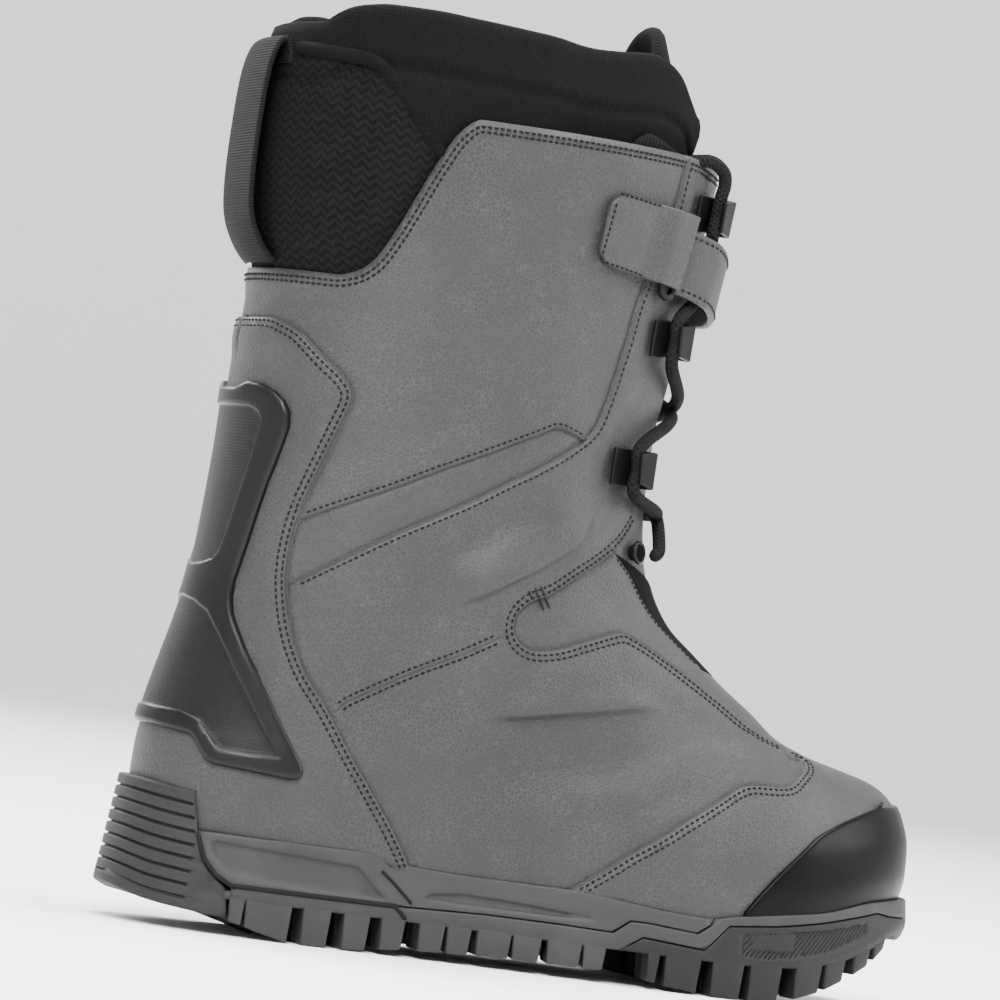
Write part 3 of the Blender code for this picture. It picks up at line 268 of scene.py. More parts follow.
def onBoot(pixels):  # (turn, level) of the form under each pixel of the photograph
    places, starts = [], []
    for px, py in pixels:
        right, up = px - shot["aimPixel"][0], shot["aimPixel"][1] - py
        aim = (look * focal + cameraX * right + cameraY * up).normalized()
        hit, _n, face, _d = tree.ray_cast(cameraPlace, aim)
        if hit is None:  # just past the outline: the nearest point of the form
            reach = shot["distance"]
            for _ in range(5):
                hit, _n, face, _d = tree.find_nearest(cameraPlace + aim * reach)
                reach = (hit - cameraPlace).dot(aim)
        places.append(tuple(hit))
        starts.append((treeTurns[face % len(treeTurns)], treeLevels[face // len(treeTurns)]))
    starts = np.array(starts)
    level, turn = settle(starts[:, 1], starts[:, 0], np.array(places))
    return np.stack((turn, level), -1)


def smoothLine(points, spacing, closed=False):  # even samples along a smooth curve, (turn, level)
    points = np.asarray(points, float)
    around = np.concatenate((points[-1:], points, points[:2])) if closed else np.concatenate(
        (2 * points[:1] - points[1:2], points, 2 * points[-1:] - points[-2:-1]))
    fine = []
    for i in range(1, len(around) - 2):
        a, b, c, d = around[i - 1:i + 3]
        s = np.linspace(0, 1, 24, endpoint=False)[:, None]
        fine.append(0.5 * (2 * b + (c - a) * s + (2 * a - 5 * b + 4 * c - d) * s * s +
                           (3 * b - a - 3 * c + d) * s ** 3))
    fine = np.concatenate(fine + ([] if closed else [points[-1:]]))
    if closed:
        fine = np.concatenate((fine, fine[:1]))
    place = skin(np.clip(fine[:, 1], 0, topLevel), fine[:, 0])
    run = np.concatenate(([0], np.cumsum(np.linalg.norm(np.diff(place, axis=0), axis=1))))
    count = max(int(round(run[-1] / spacing)), 2)
    at = np.linspace(0, run[-1], count + 1)
    even = np.stack((np.interp(at, run, fine[:, 0]), np.interp(at, run, fine[:, 1])), -1)
    return even[:-1] if closed else even


def straightLine(points, spacing, closed=False):  # the same with its corners kept
    points = np.asarray(points, float)
    ends = np.concatenate((points, points[:1])) if closed else points
    made = []
    for a, b in zip(ends, ends[1:]):
        pa, pb = skin(np.clip([a[1], b[1]], 0, topLevel), np.array([a[0], b[0]]))
        steps = max(int(round(np.linalg.norm(pb - pa) / spacing)), 1)
        made.append(a + (b - a) * np.linspace(0, 1, steps, endpoint=False)[:, None])
    return np.concatenate(made + ([] if closed else [points[-1:]]))


def beside(line, distance, closed=False):  # the line moved over the surface to its left
    line = np.asarray(line, float)
    level, turn = np.clip(line[:, 1], 0, topLevel), line[:, 0]
    place = skin(level, turn)
    if closed:
        along = np.roll(place, -1, 0) - np.roll(place, 1, 0)
    else:
        along = np.gradient(place, axis=0)
    along /= np.linalg.norm(along, axis=1, keepdims=True) + 1e-12
    round_, up, normal = slopes(level, turn)
    left = np.cross(normal, along) * np.asarray(distance)[..., None]
    a, b, c = (round_ * round_).sum(-1), (round_ * up).sum(-1), (up * up).sum(-1)
    d, e = (round_ * left).sum(-1), (up * left).sum(-1)
    area = a * c - b * b
    return line + np.stack(((c * d - b * e) / area, (a * e - b * d) / area), -1)


def mirrored(line):  # the same line on the inner side
    return np.asarray(line) * (-1, 1)


def nearest(line, places):  # for world points: distance to a line, signed to its left, and how far along
    level, turn = np.clip(line[:, 1], 0, topLevel), line[:, 0]
    path = skin(level, turn)
    normal = slopes(level, turn)[2]
    best = np.full(len(places), 1e9)
    signed = np.zeros(len(places))
    along = np.zeros(len(places))
    run = np.concatenate(([0], np.cumsum(np.linalg.norm(np.diff(path, axis=0), axis=1))))
    for i in range(len(path) - 1):
        a, b = path[i], path[i + 1]
        span = b - a
        t = np.clip(((places - a) @ span) / max(span @ span, 1e-12), 0, 1)
        gap = places - (a + t[:, None] * span)
        far = np.linalg.norm(gap, axis=1)
        closer = far < best
        best[closer] = far[closer]
        signed[closer] = (gap[closer] @ np.cross(normal[i], span) >= 0) * 2.0 - 1.0
        along[closer] = (run[i] + t[closer] * (run[i + 1] - run[i])) / run[-1]
    return best, signed, along


def inside(line, points):
    x, y = points[:, 0], points[:, 1]
    found = np.zeros(len(points), bool)
    for (x0, y0), (x1, y1) in zip(line, np.roll(line, -1, 0)):
        if y0 == y1:
            continue
        crosses = (y0 > y) != (y1 > y)
        found ^= crosses & (x < (x1 - x0) * (y - y0) / (y1 - y0) + x0)
    return found


def addPiece(name, mesh, finish, *replaced, slot=None):
    piece = bpy.data.objects.new(name, mesh)
    bpy.context.scene.collection.objects.link(piece)
    if finish:
        mesh.materials.append(finish)
    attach(piece, "root")
    if replaced:
        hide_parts(*replaced)
    return piece


def meshFrom(name, points, faces, lay=None, smooth=True):
    mesh = bpy.data.meshes.new(name)
    mesh.from_pydata([tuple(p) for p in points], [], [tuple(f) for f in faces])
    mesh.update()
    if smooth:
        mesh.shade_smooth()
    if lay is not None:
        mesh.attributes.new("lay", "FLOAT_VECTOR", "POINT").data.foreach_set("vector",
            np.asarray(lay, np.float32).ravel())
    return mesh


flatScale = np.array((0.30, 0.0135))  # metres for a unit of turn and of level, near enough for meshing


def sheet(outline, spacing, loops=(), lines=(), flatScale=flatScale):
    # flat triangles inside an outline, with the loops and lines among their edges
    paths = [(np.asarray(p), True) for p in [outline] + list(loops)] + [(np.asarray(p), False) for p in lines]
    flat, edges = [], []
    for path, closed in paths:
        first = len(flat)
        flat += [tuple(p) for p in path * flatScale]
        count = len(path)
        edges += [(first + i, first + (i + 1) % count) for i in range(count if closed else count - 1)]
    kept = KDTree(len(flat))
    for i, p in enumerate(flat):
        kept.insert((*p, 0), i)
    kept.balance()
    low, high = np.array(flat).min(0), np.array(flat).max(0)
    rowsY = np.arange(low[1] + spacing * 0.4, high[1], spacing * 0.866)
    cloud = []
    for j, y in enumerate(rowsY):
        xs = np.arange(low[0] + spacing * (0.3 + 0.5 * (j % 2)), high[0], spacing)
        cloud.append(np.stack((xs, np.full_like(xs, y)), -1))
    cloud = np.concatenate(cloud)
    cloud = cloud[inside(np.asarray(outline) * flatScale, cloud)]
    cloud = [tuple(p) for p in cloud if kept.find((*p, 0))[2] > spacing * 0.55]
    result = delaunay_2d_cdt([Vector(p) for p in flat + cloud], edges, [], 1, 1e-7)
    flatPoints = np.array([tuple(v) for v in result[0]]) / flatScale
    faces = [f for f in result[2]]
    return flatPoints, faces


def lift(flat, height):
    return skin(np.clip(flat[:, 1], 0, topLevel), flat[:, 0], height)


# Finishes. A Value wraps a shader socket, so that shader maths reads as plain expressions.
class Value:
    def __init__(self, finish, socket):
        self.finish, self.socket = finish, socket

    def math(self, kind, other, swapped=False):
        pair = (other, self) if swapped else (self, other)
        return self.finish.node("ShaderNodeMath", {"operation": kind}, {0: pair[0], 1: pair[1]})

    def __add__(self, other): return self.math("ADD", other)
    def __radd__(self, other): return self.math("ADD", other, True)
    def __sub__(self, other): return self.math("SUBTRACT", other)
    def __rsub__(self, other): return self.math("SUBTRACT", other, True)
    def __mul__(self, other): return self.math("MULTIPLY", other)
    def __rmul__(self, other): return self.math("MULTIPLY", other, True)
    def __truediv__(self, other): return self.math("DIVIDE", other)
    def __rtruediv__(self, other): return self.math("DIVIDE", other, True)
    def __mod__(self, other): return self.math("FLOORED_MODULO", other)
    def __pow__(self, other): return self.math("POWER", other)
    def __gt__(self, other): return self.math("GREATER_THAN", other)
    def __abs__(self): return self.math("ABSOLUTE", 0)
    def wave(self): return self.math("SINE", 0)
    def most(self, other): return self.math("MAXIMUM", other)


class Finish:
    def __init__(self, name, **shader):
        self.material = bpy.data.materials.new(name)
        self.material.use_nodes = True
        self.nodes = self.material.node_tree.nodes
        self.links = self.material.node_tree.links
        self.shader = self.nodes["Principled BSDF"]
        for socket, value in shader.items():
            self.shader.inputs[socket.replace("_", " ")].default_value = value

    def node(self, kind, settings, inputs, output=0):
        made = self.nodes.new(kind)
        for key, value in settings.items():
            if key == "stops":
                while len(made.color_ramp.elements) < len(value):
                    made.color_ramp.elements.new(0.5)
                for stop, (place, shade) in zip(made.color_ramp.elements, value):
                    stop.position = place
                    stop.color = (*shade, 1) if isinstance(shade, tuple) else (shade, shade, shade, 1)
            else:
                setattr(made, key, value)
        for key, value in inputs.items():
            if isinstance(value, Value):
                self.links.new(value.socket, made.inputs[key])
            else:
                made.inputs[key].default_value = value
        return Value(self, made.outputs[output])

    def where(self):
        return self.node("ShaderNodeTexCoord", {}, {}, "Object")

    def lay(self):  # the piece's own cloth coordinates, in metres
        found = self.node("ShaderNodeAttribute", {"attribute_name": "lay"}, {}, "Vector")
        split = self.nodes.new("ShaderNodeSeparateXYZ")
        self.links.new(found.socket, split.inputs[0])
        return [Value(self, split.outputs[k]) for k in range(3)]

    def noise(self, where, scale, detail=2.0, roughness=0.5):
        return self.node("ShaderNodeTexNoise", {},
            {"Vector": where, "Scale": scale, "Detail": detail, "Roughness": roughness}, "Fac")

    def cells(self, where, scale, feature="F1", output="Distance"):
        return self.node("ShaderNodeTexVoronoi", {"feature": feature}, {"Vector": where, "Scale": scale},
            output)

    def ramp(self, value, *stops):
        return self.node("ShaderNodeValToRGB", {"stops": stops}, {0: value}, "Color")

    def mix(self, share, a, b):
        made = self.nodes.new("ShaderNodeMix")
        made.data_type = "RGBA"
        for key, value in ((0, share), (6, a), (7, b)):
            if isinstance(value, Value):
                self.links.new(value.socket, made.inputs[key])
            else:
                made.inputs[key].default_value = (*value, 1) if isinstance(value, tuple) else value
        return Value(self, made.outputs[2])

    def bump(self, height, distance, strength=1.0, under=None):
        inputs = {"Height": height, "Distance": distance, "Strength": strength}
        if under:
            inputs["Normal"] = under
        return self.node("ShaderNodeBump", {}, inputs, "Normal")

    def done(self, **sockets):
        for socket, value in sockets.items():
            self.links.new(value.socket, self.shader.inputs[socket.replace("_", " ")])
        return self.material


leatherLook = dict(
    colour=(0.0218, 0.0213, 0.0222), paler=(0.060, 0.0587, 0.0605), deeper=(0.0172, 0.0168, 0.0176),
    grain=1150, grainDepth=0.16 * mm, wrinkle=260, crackle=600,
)


def leatherFinish(name, shade=1.0, gloss=0.52):
    a = leatherLook
    tone = lambda key: tuple(c * shade for c in a[key])
    f = Finish(name, Specular_IOR_Level=0.24, Sheen_Weight=0.01, Sheen_Roughness=0.5)
    at = f.where()
    clouds = f.noise(at, 16, 3)
    bent = f.node("ShaderNodeVectorMath", {"operation": "MULTIPLY_ADD"},
        {0: f.node("ShaderNodeTexNoise", {}, {"Vector": at, "Scale": 90, "Detail": 3}, "Color"),
            1: (0.0016, 0.0016, 0.0016), 2: at})
    pebble = f.cells(bent, a["grain"])
    cracks = f.cells(bent, a["crackle"], "DISTANCE_TO_EDGE")
    fine = f.ramp(cracks, (0.0, 1.0), (0.11, 0.0))
    patches = f.ramp(f.noise(at, 60, 4, 0.6), (0.30, 0.25), (0.62, 1.0))
    specks = fine * patches
    colour = f.mix(f.ramp(clouds, (0.35, 0.0), (0.68, 1.0)), tone("deeper"), tone("colour"))
    colour = f.mix(specks * 0.40, colour, tone("paler"))
    height = pebble * -1.0 + f.noise(at, a["wrinkle"], 4) * 0.5
    normal = f.bump(height, a["grainDepth"])
    normal = f.bump(cracks, 0.30 * mm, 0.5, normal)
    rough = f.noise(at, 420, 3) * 0.16 + (gloss - 0.08)
    return f.done(Base_Color=colour, Roughness=rough, Normal=normal)


def threadFinish():
    f = Finish("thread", Roughness=0.7, Specular_IOR_Level=0.10)
    return f.done(Base_Color=f.mix(f.noise(f.where(), 900), (0.0025, 0.0025, 0.0027),
        (0.0080, 0.0077, 0.0080)))


leather = leatherFinish("leather")
thread = threadFinish()

# Seams of the outer side as pixels of the photograph; the inner side has the same ones.
# over: which side of the line lies on top (1 left, -1 right), rows: where its stitches run, in mm.
seams = dict(
    counter=dict(
        path=((259, 317), (274, 318), (288, 325), (302, 334), (325, 359), (344, 378), (352, 397),
            (338, 430), (317, 474), (299, 515), (289, 552), (286, 590), (292, 637), (321, 700),
            (348, 752), (380, 808), (404, 856), (410, 872)),
        over=-1, step=1.5, rows=(1.3, 3.6)),
    shaftLower=dict(path=((302, 519), (360, 499), (430, 474), (500, 449), (545, 432), (556, 428),
        (566, 431), (584, 441)), over=1, step=1.1, rows=(1.6,)),
    gusset=dict(path=((613, 552), (629, 577), (643, 606), (660, 630), (680, 651), (697, 668)), over=-1,
        step=1.2, rows=(1.3,)),
    quarter=dict(
        path=((293, 583), (360, 551), (432, 519), (500, 488), (540, 469), (584, 441), (598, 425),
            (606, 405), (615, 379), (627, 342), (636, 310), (645, 285), (662, 240), (676, 207),
            (683, 180), (689, 154)),
        over=-1, step=1.2, rows=(1.6,)),
    lower=dict(path=((336, 712), (351, 700), (420, 670), (501, 636)), over=1, step=0.0, rows=(1.6, -1.6)),
    patch=dict(
        path=((634, 517), (614, 549), (577, 577), (546, 597), (529, 603), (516, 617), (515, 636),
            (529, 650), (554, 651), (588, 642), (617, 634), (627, 636), (655, 655), (680, 674),
            (731, 715), (781, 750)),
        over=-1, step=1.2, rows=(1.2, 3.3)),
    toe=dict(
        path=((572, 890), (605, 871), (640, 850), (680, 827), (720, 802), (738, 790), (752, 786),
            (775, 788), (790, 787), (799, 778), (801, 762), (797, 751)),
        over=-1, step=1.1, rows=(1.2, 3.3)),
)
# Soft moulded forms and creases: pixels, width and steepness to each side in mm, height in mm
creases = (
    dict(path=((449, 613), (472, 602), (507, 586), (541, 568), (572, 546)), left=1.6, right=1.6,
        height=-1.2),
    dict(path=((447, 609), (470, 598), (505, 582), (540, 564), (575, 537), (600, 500)), left=11, right=3.0,
        height=4.6),
    dict(path=((455, 596), (505, 552), (551, 514), (600, 471)), left=7, right=6, height=1.4),
    dict(path=((482, 716), (530, 712), (590, 709), (640, 707), (668, 708)), left=10, right=2.2, height=4.4),
    dict(path=((520, 690), (575, 676), (630, 668), (670, 690)), left=7, right=7, height=1.5),
    dict(path=((405, 757), (440, 735), (500, 700)), left=7, right=3.5, height=1.7),
    dict(path=((640, 760), (690, 735), (745, 730)), left=6, right=5, height=-1.3),
    dict(path=((560, 800), (640, 790), (720, 760)), left=9, right=6, height=1.2),
    dict(path=((430, 560), (500, 530), (560, 500)), left=6, right=6, height=-0.9),
    dict(path=((470, 330), (540, 300), (600, 310)), left=12, right=12, height=0.7),
    dict(path=((380, 330), (450, 360), (540, 380)), left=12, right=12, height=-0.6),
    dict(path=((250, 300), (300, 300), (360, 306)), left=5, right=5, height=-0.5),
)
shaftRim = dict(drop=3.0, wall=2.2)


def seamLines():
    made = []
    for seam in seams.values():
        outer = smoothLine(onBoot(seam["path"]), 2.2 * mm)
        for line, hand in ((outer, 1), (mirrored(outer), -1)):
            made.append(dict(line=line, side=seam["over"] * hand, step=seam["step"] * mm,
                rows=[r * mm for r in seam["rows"]]))
    first = made[0]["line"]
    level = first[0][1]
    ends = [(-1.0, level), tuple(first[0])]
    top = straightLine(np.array(ends), 2.2 * mm)[:-1]
    made[0]["line"] = np.concatenate((top, first))
    made[1]["line"] = mirrored(made[0]["line"])
    return made


allSeams = seamLines()
allCreases = []
for crease in creases:
    outer = smoothLine(onBoot(crease["path"]), 4 * mm)
    allCreases += [(outer, crease, 1), (mirrored(outer), crease, -1)]


def nearPart(line, places, reach):
    path = skin(np.clip(line[:, 1], 0, topLevel), line[:, 0])
    low, high = path.min(0) - reach, path.max(0) + reach
    return np.flatnonzero(((places > low) & (places < high)).all(1))


def relief(flat):  # lift of the shell's outside: seams' steps and grooves, soft creases
    places = skin(np.clip(flat[:, 1], 0, topLevel), flat[:, 0])
    height = np.zeros(len(flat))
    for seam in allSeams:
        near = nearPart(seam["line"], places, 18 * mm)
        far, signed, along = nearest(seam["line"], places[near])
        s = far * signed * seam["side"]
        beyond = np.where((along <= 0) | (along >= 1), 1 - ease(far, 0, 3 * mm), 1)
        rise_ = seam["step"] * ease(s, -0.1 * mm, 0.35 * mm) * (1 - ease(s, 5 * mm, 17 * mm))
        dip = -0.80 * mm * np.exp(-((s + 0.34 * mm) / (0.50 * mm)) ** 2)
        for row in seam["rows"]:
            dip -= 0.20 * mm * np.exp(-((s - row) / (0.75 * mm)) ** 2)
        height[near] += (rise_ + dip) * beyond
    for line, crease, hand in allCreases:
        wide = max(crease["left"], crease["right"]) * mm
        near = nearPart(line, places, 3 * wide)
        far, signed, along = nearest(line, places[near])
        s = far * signed * hand
        width = np.where(s > 0, crease["left"], crease["right"]) * mm
        taper = ease(along, 0, 0.22) * (1 - ease(along, 0.72, 1.0))
        height[near] += crease["height"] * mm * np.exp(-(s / width) ** 2) * taper
    return height


def fromFront(y, z):  # the form's point seen from the front at this height
    hit, _n, face, _d = tree.ray_cast(Vector((0.6, y, z)), Vector((-1, 0, 0)))
    start = np.array([[treeTurns[face % len(treeTurns)], treeLevels[face // len(treeTurns)]]])
    level, turn = settle(start[:, 1], start[:, 0], np.array([tuple(hit)]))
    return (turn[0], level[0])


throat = dict(half=17 * mm, foot=0.345, footRise=0.055)


def throatLine():
    centre = float(planCentre(0.62)) + form["origin"][1]
    bottom = float(rise(throat["foot"]))
    radius = throat["footRise"] * form["rise"]
    points = [fromFront(centre - throat["half"], z) for z in np.linspace(float(rise(0.93)), bottom + radius,
        40)]
    for a in np.linspace(-math.pi / 2, math.pi / 2, 17)[1:-1]:
        points.append(fromFront(centre + throat["half"] * math.sin(a), bottom + radius * (1 - math.cos(a))))
    points += [fromFront(centre + throat["half"], z) for z in np.linspace(bottom + radius,
        float(rise(0.93)), 40)]
    return np.array(points)


def topEdge(turns, table="shaftTop"):
    return np.stack((turns, levelWhere(turns, heightLine(table))), -1)


def shell():
    slot = throatLine()
    left, right = slot[0][0], slot[-1][0]
    top = np.concatenate((topEdge(np.linspace(1, right + 0.004, 90)), slot[::-1],
        topEdge(np.linspace(left - 0.004, -1, 90))))
    bottom = np.stack((np.linspace(-1, 1, 240), np.full(240, 0.0)), -1)
    up = np.stack((np.ones(60), np.linspace(0, top[0][1], 62)[1:-1]), -1)
    down = np.stack((-np.ones(60), np.linspace(top[-1][1], 0, 62)[1:-1]), -1)
    outline = np.concatenate((bottom, up, top, down))
    lines = []
    for seam in allSeams:
        for away in (-0.95, -0.30, 0.12, 0.5):
            moved = beside(seam["line"], away * mm * seam["side"])
            moved[:, 0] = np.clip(moved[:, 0], -1, 1)
            lines.append(moved)
    for line, crease, _hand in allCreases:
        if crease["right"] < 3.2:
            lines += [beside(line, away * mm) for away in (-3.0, -1.8, -0.6, 0.6, 1.8)]
    flat, faces = sheet(outline, 2.7 * mm, lines=lines)
    height = relief(flat)
    rim = np.concatenate((topEdge(np.linspace(1, right, 120)), slot[::-1],
        topEdge(np.linspace(left, -1, 120))))
    places = skin(np.clip(flat[:, 1], 0, topLevel), flat[:, 0])
    far = nearest(rim, places)[0]
    height -= 0.9 * mm * (1 - np.sqrt(1 - (1 - np.clip(far / (1.6 * mm), 0, 1)) ** 2))
    points = lift(flat, height)
    mesh = meshFrom("upperShell", points, faces)
    bm = bmesh.new()
    bm.from_mesh(mesh)
    bmesh.ops.remove_doubles(bm, verts=bm.verts, dist=0.02 * mm)
    bmesh.ops.recalc_face_normals(bm, faces=bm.faces)
    bm.to_mesh(mesh)
    bm.free()
    piece = addPiece("upperShell", mesh, leather, "upper", slot="leather")
    wall = piece.modifiers.new("wall", "SOLIDIFY")
    wall.thickness = shaftRim["wall"] * mm
    wall.offset = -1
    print("upper", len(mesh.polygons))


shell()


def stitchMesh(name, marks, thick=0.44 * mm):  # marks: place, direction, length and outward normal
    sides, steps = 6, (-0.5, -0.42, -0.2, 0.2, 0.42, 0.5)
    bulge = (0.0, 0.72, 1.0, 1.0, 0.72, 0.0)
    sink = (-0.9, -0.35, 0.0, 0.0, -0.35, -0.9)
    points, faces = [], []
    for place, along, length, normal in marks:
        across = np.cross(normal, along)
        first = len(points)
        for s, b, k in zip(steps, bulge, sink):
            for n in range(sides):
                a = 2 * math.pi * n / sides
                side_ = across * math.cos(a) + normal * math.sin(a)
                points.append(place + along * s * length + side_ * thick * max(b, 0.05) + normal * k * thick)
        for r in range(len(steps) - 1):
            for n in range(sides):
                m = (n + 1) % sides
                faces.append((first + r * sides + n, first + r * sides + m, first + (r + 1) * sides + m,
                    first + (r + 1) * sides + n))
    return meshFrom(name, points, faces)


stitch = dict(pitch=2.4 * mm, length=1.85 * mm, stand=0.10 * mm)


def stitchRow(line, away, pitch=None):  # middles and ends of a row's stitches, moved off a line
    row = beside(line, away) if away else line
    even = smoothLine(np.clip(row, (-9, 0.05), (9, topLevel)), pitch or stitch["pitch"])
    return (even[:-1] + even[1:]) / 2, even


def stitchMarks(rows, high):  # rows of stitches at the lift that high(flat) gives
    middles = np.concatenate([middle for middle, _even in rows])
    places = skin(middles[:, 1], middles[:, 0], high(middles) + stitch["stand"])
    ahead = np.concatenate([np.diff(skin(even[:, 1], even[:, 0]), axis=0) for _middle, even in rows])
    normals = slopes(middles[:, 1], middles[:, 0])[2]
    lengths = np.linalg.norm(ahead, axis=1)
    rows_ = zip(places, ahead, lengths, normals)
    return [(p, a / l, min(stitch["length"], l * 0.76), n) for p, a, l, n in rows_]


def upperStitches():
    rows = []
    for seam in allSeams:
        for row in seam["rows"]:
            rows.append(stitchRow(seam["line"][1:-1], row * seam["side"]))
    for hand in (1, -1):
        line = topEdge(np.linspace(-0.999, -0.10, 160))
        line[:, 0] *= hand
        for row in (2.4 * mm, 4.4 * mm):
            rows.append(stitchRow(line, -row * hand))
    marks = stitchMarks(rows, relief)
    marks += bartack()
    addPiece("upperStitches", stitchMesh("upperStitches", marks), thread, slot="leather")
    print("stitches", len(marks))


def bartack():  # thread loops across the patch's neck, on both sides of the boot
    marks = []
    for hand in (1, -1):
        ends = onBoot(((527, 588), (531, 601), (533, 585), (537, 598), (538, 583), (543, 596),
            (543, 596), (549, 609), (538, 598), (543, 611)))
        ends[:, 0] *= hand
        places = skin(ends[:, 1], ends[:, 0], 0.95 * mm)
        normals = slopes(ends[:, 1], ends[:, 0])[2]
        for a, b, n in zip(places[::2], places[1::2], normals[::2]):
            marks.append(((a + b) / 2, (b - a) / np.linalg.norm(b - a), np.linalg.norm(b - a), n))
    return marks


upperStitches()


# Moulded layers over the shell
def gridFaces(rowCount, columnCount, around=False, first=0, flip=False):
    faces = []
    for j in range(rowCount - 1):
        for i in range(columnCount if around else columnCount - 1):
            k = (i + 1) % columnCount
            low, high = first + j * columnCount, first + (j + 1) * columnCount
            face = (low + i, low + k, high + k, high + i)
            faces.append(face[::-1] if flip else face)
    return faces


def welded(mesh, near=0.01 * mm):
    bm = bmesh.new()
    bm.from_mesh(mesh)
    bmesh.ops.remove_doubles(bm, verts=bm.verts, dist=near)
    bmesh.ops.recalc_face_normals(bm, faces=bm.faces)
    bm.to_mesh(mesh)
    bm.free()
    return mesh


def closedLine(line):
    return np.concatenate((line, line[:1]))


def depthInside(outline, flat, reach):  # how far inside a closed outline, from 0 at and beyond it
    places = skin(np.clip(flat[:, 1], 0, topLevel), flat[:, 0])
    line = closedLine(outline)
    near = nearPart(line, places, reach)
    far = np.full(len(flat), reach)
    far[near] = np.minimum(nearest(line, places[near])[0], reach)
    within = inside(outline * flatScale, flat * flatScale)
    return np.where(within, far, 0)


def inset(outline, distance):
    for hand in (1, -1):
        moved = beside(outline, distance * hand, True)
        if inside(outline, moved).mean() > 0.5:
            return moved
    return outline


def raised(name, outline, finish, *replaced, thick, edge, slot, height=None, spacing=2.0 * mm, loops=(),
    base=relief):
    rings_ = [inset(outline, edge * share) for share in (0.12, 0.4, 1.0)]
    flat, faces = sheet(outline, spacing, loops=rings_ + list(loops))
    places = skin(np.clip(flat[:, 1], 0, topLevel), flat[:, 0])
    far = nearest(closedLine(outline), places)[0]
    roll = np.sqrt(1 - (1 - np.clip(far / edge, 0, 1)) ** 2)
    low = base(flat)
    lifted = low + thick * (0.3 + 0.7 * roll)
    if height:
        lifted = lifted + height(flat, far)
    points = lift(flat, lifted)
    rim = [i for i in range(len(flat)) if far[i] < 0.02 * mm]
    order = sorted(rim, key=lambda i: nearestIndex(outline, flat[i]))
    sunk = lift(flat[order], low[order] - 1.2 * mm)
    first = len(points)
    points = np.concatenate((points, sunk))
    faces = [tuple(f) for f in faces]
    for k in range(len(order)):
        n = (k + 1) % len(order)
        faces.append((order[k], order[n], first + n, first + k))
    lay = np.zeros((len(points), 3))
    lay[:first, 0], lay[:first, 1] = flat[:, 0] * flatScale[0], flat[:, 1] * flatScale[1]
    lay[:first, 2] = far
    mesh = meshFrom(name, points, faces, lay)
    bm = bmesh.new()
    bm.from_mesh(mesh)
    bmesh.ops.recalc_face_normals(bm, faces=bm.faces)
    bm.to_mesh(mesh)
    bm.free()
    piece = addPiece(name, mesh, finish, *replaced, slot=slot)
    print(name, len(mesh.polygons))
    return piece


def nearestIndex(outline, point):  # where along a closed outline a flat point lies
    scaled, p = outline * flatScale, point * flatScale
    nextOnes = np.roll(scaled, -1, 0)
    span = nextOnes - scaled
    t = np.clip(((p - scaled) * span).sum(1) / np.maximum((span * span).sum(1), 1e-15), 0, 1)
    gap = np.linalg.norm(p - scaled - span * t[:, None], axis=1)
    k = int(np.argmin(gap))
    return k + t[k]


def rubberFinish(name, colour, roughness, coat=0.0, grain=0.0, **more):
    f = Finish(name, Coat_Weight=coat, Coat_Roughness=0.3, **more)
    at = f.where()
    tone = f.mix(f.noise(at, 40, 3), tuple(c * 0.86 for c in colour), tuple(c * 1.16 for c in colour))
    normal = f.bump(f.noise(at, 1500, 2) + f.noise(at, 300, 2) * 0.6, 0.05 * mm + grain)
    return f.done(Base_Color=tone, Roughness=f.noise(at, 160, 3) * 0.14 + (roughness - 0.07), Normal=normal)


def halfOutline(path, spacing, centre, first=None, last=None):
    # a closed outline from its outer half: the pixel path, ended on the centre line turn, and its mirror
    line = onBoot(path)
    if centre:
        line[:, 0] = np.where(line[:, 0] > 0.5, line[:, 0] - 2, line[:, 0])
        line[:, 0] = np.maximum(line[:, 0], centre)
    else:
        line[:, 0] = np.minimum(line[:, 0], 0)
    start = [(centre, first if first is not None else line[0, 1])]
    end = [(centre, last if last is not None else line[-1, 1])]
    half = np.concatenate((start, line, end))
    other = half[::-1].copy()
    other[:, 0] = 2 * centre - other[:, 0]
    return straightLine(np.concatenate((half, other[1:-1])), spacing, True)


toeRubber = rubberFinish("toeRubber", (0.0016, 0.0015, 0.0016), 0.36, Specular_IOR_Level=0.07)


def toeCap():
    path = ((744, 912), (757, 897), (770, 883), (783, 870), (795, 859), (808, 846), (819, 836),
        (831, 829), (842, 823), (854, 818), (868, 812), (881, 807), (892, 801))
    line = onBoot(path)
    line[:, 0] = np.minimum(line[:, 0], -0.004)
    top = line[-1, 1] + 0.04
    line = smoothLine(np.concatenate((line, [(0.0, top)])), 2 * mm)
    low = float(max(line[0, 1] - 0.4, 0.05))
    half = np.concatenate(([(line[0, 0], low)], line))
    other = mirrored(half)[::-1][1:]
    outline = straightLine(np.concatenate((half, other)), 2 * mm, True)
    raised("toeCap", outline, toeRubber, "toe_cap", thick=1.8 * mm, edge=1.3 * mm, slot="toe_rubber")


toeCap()


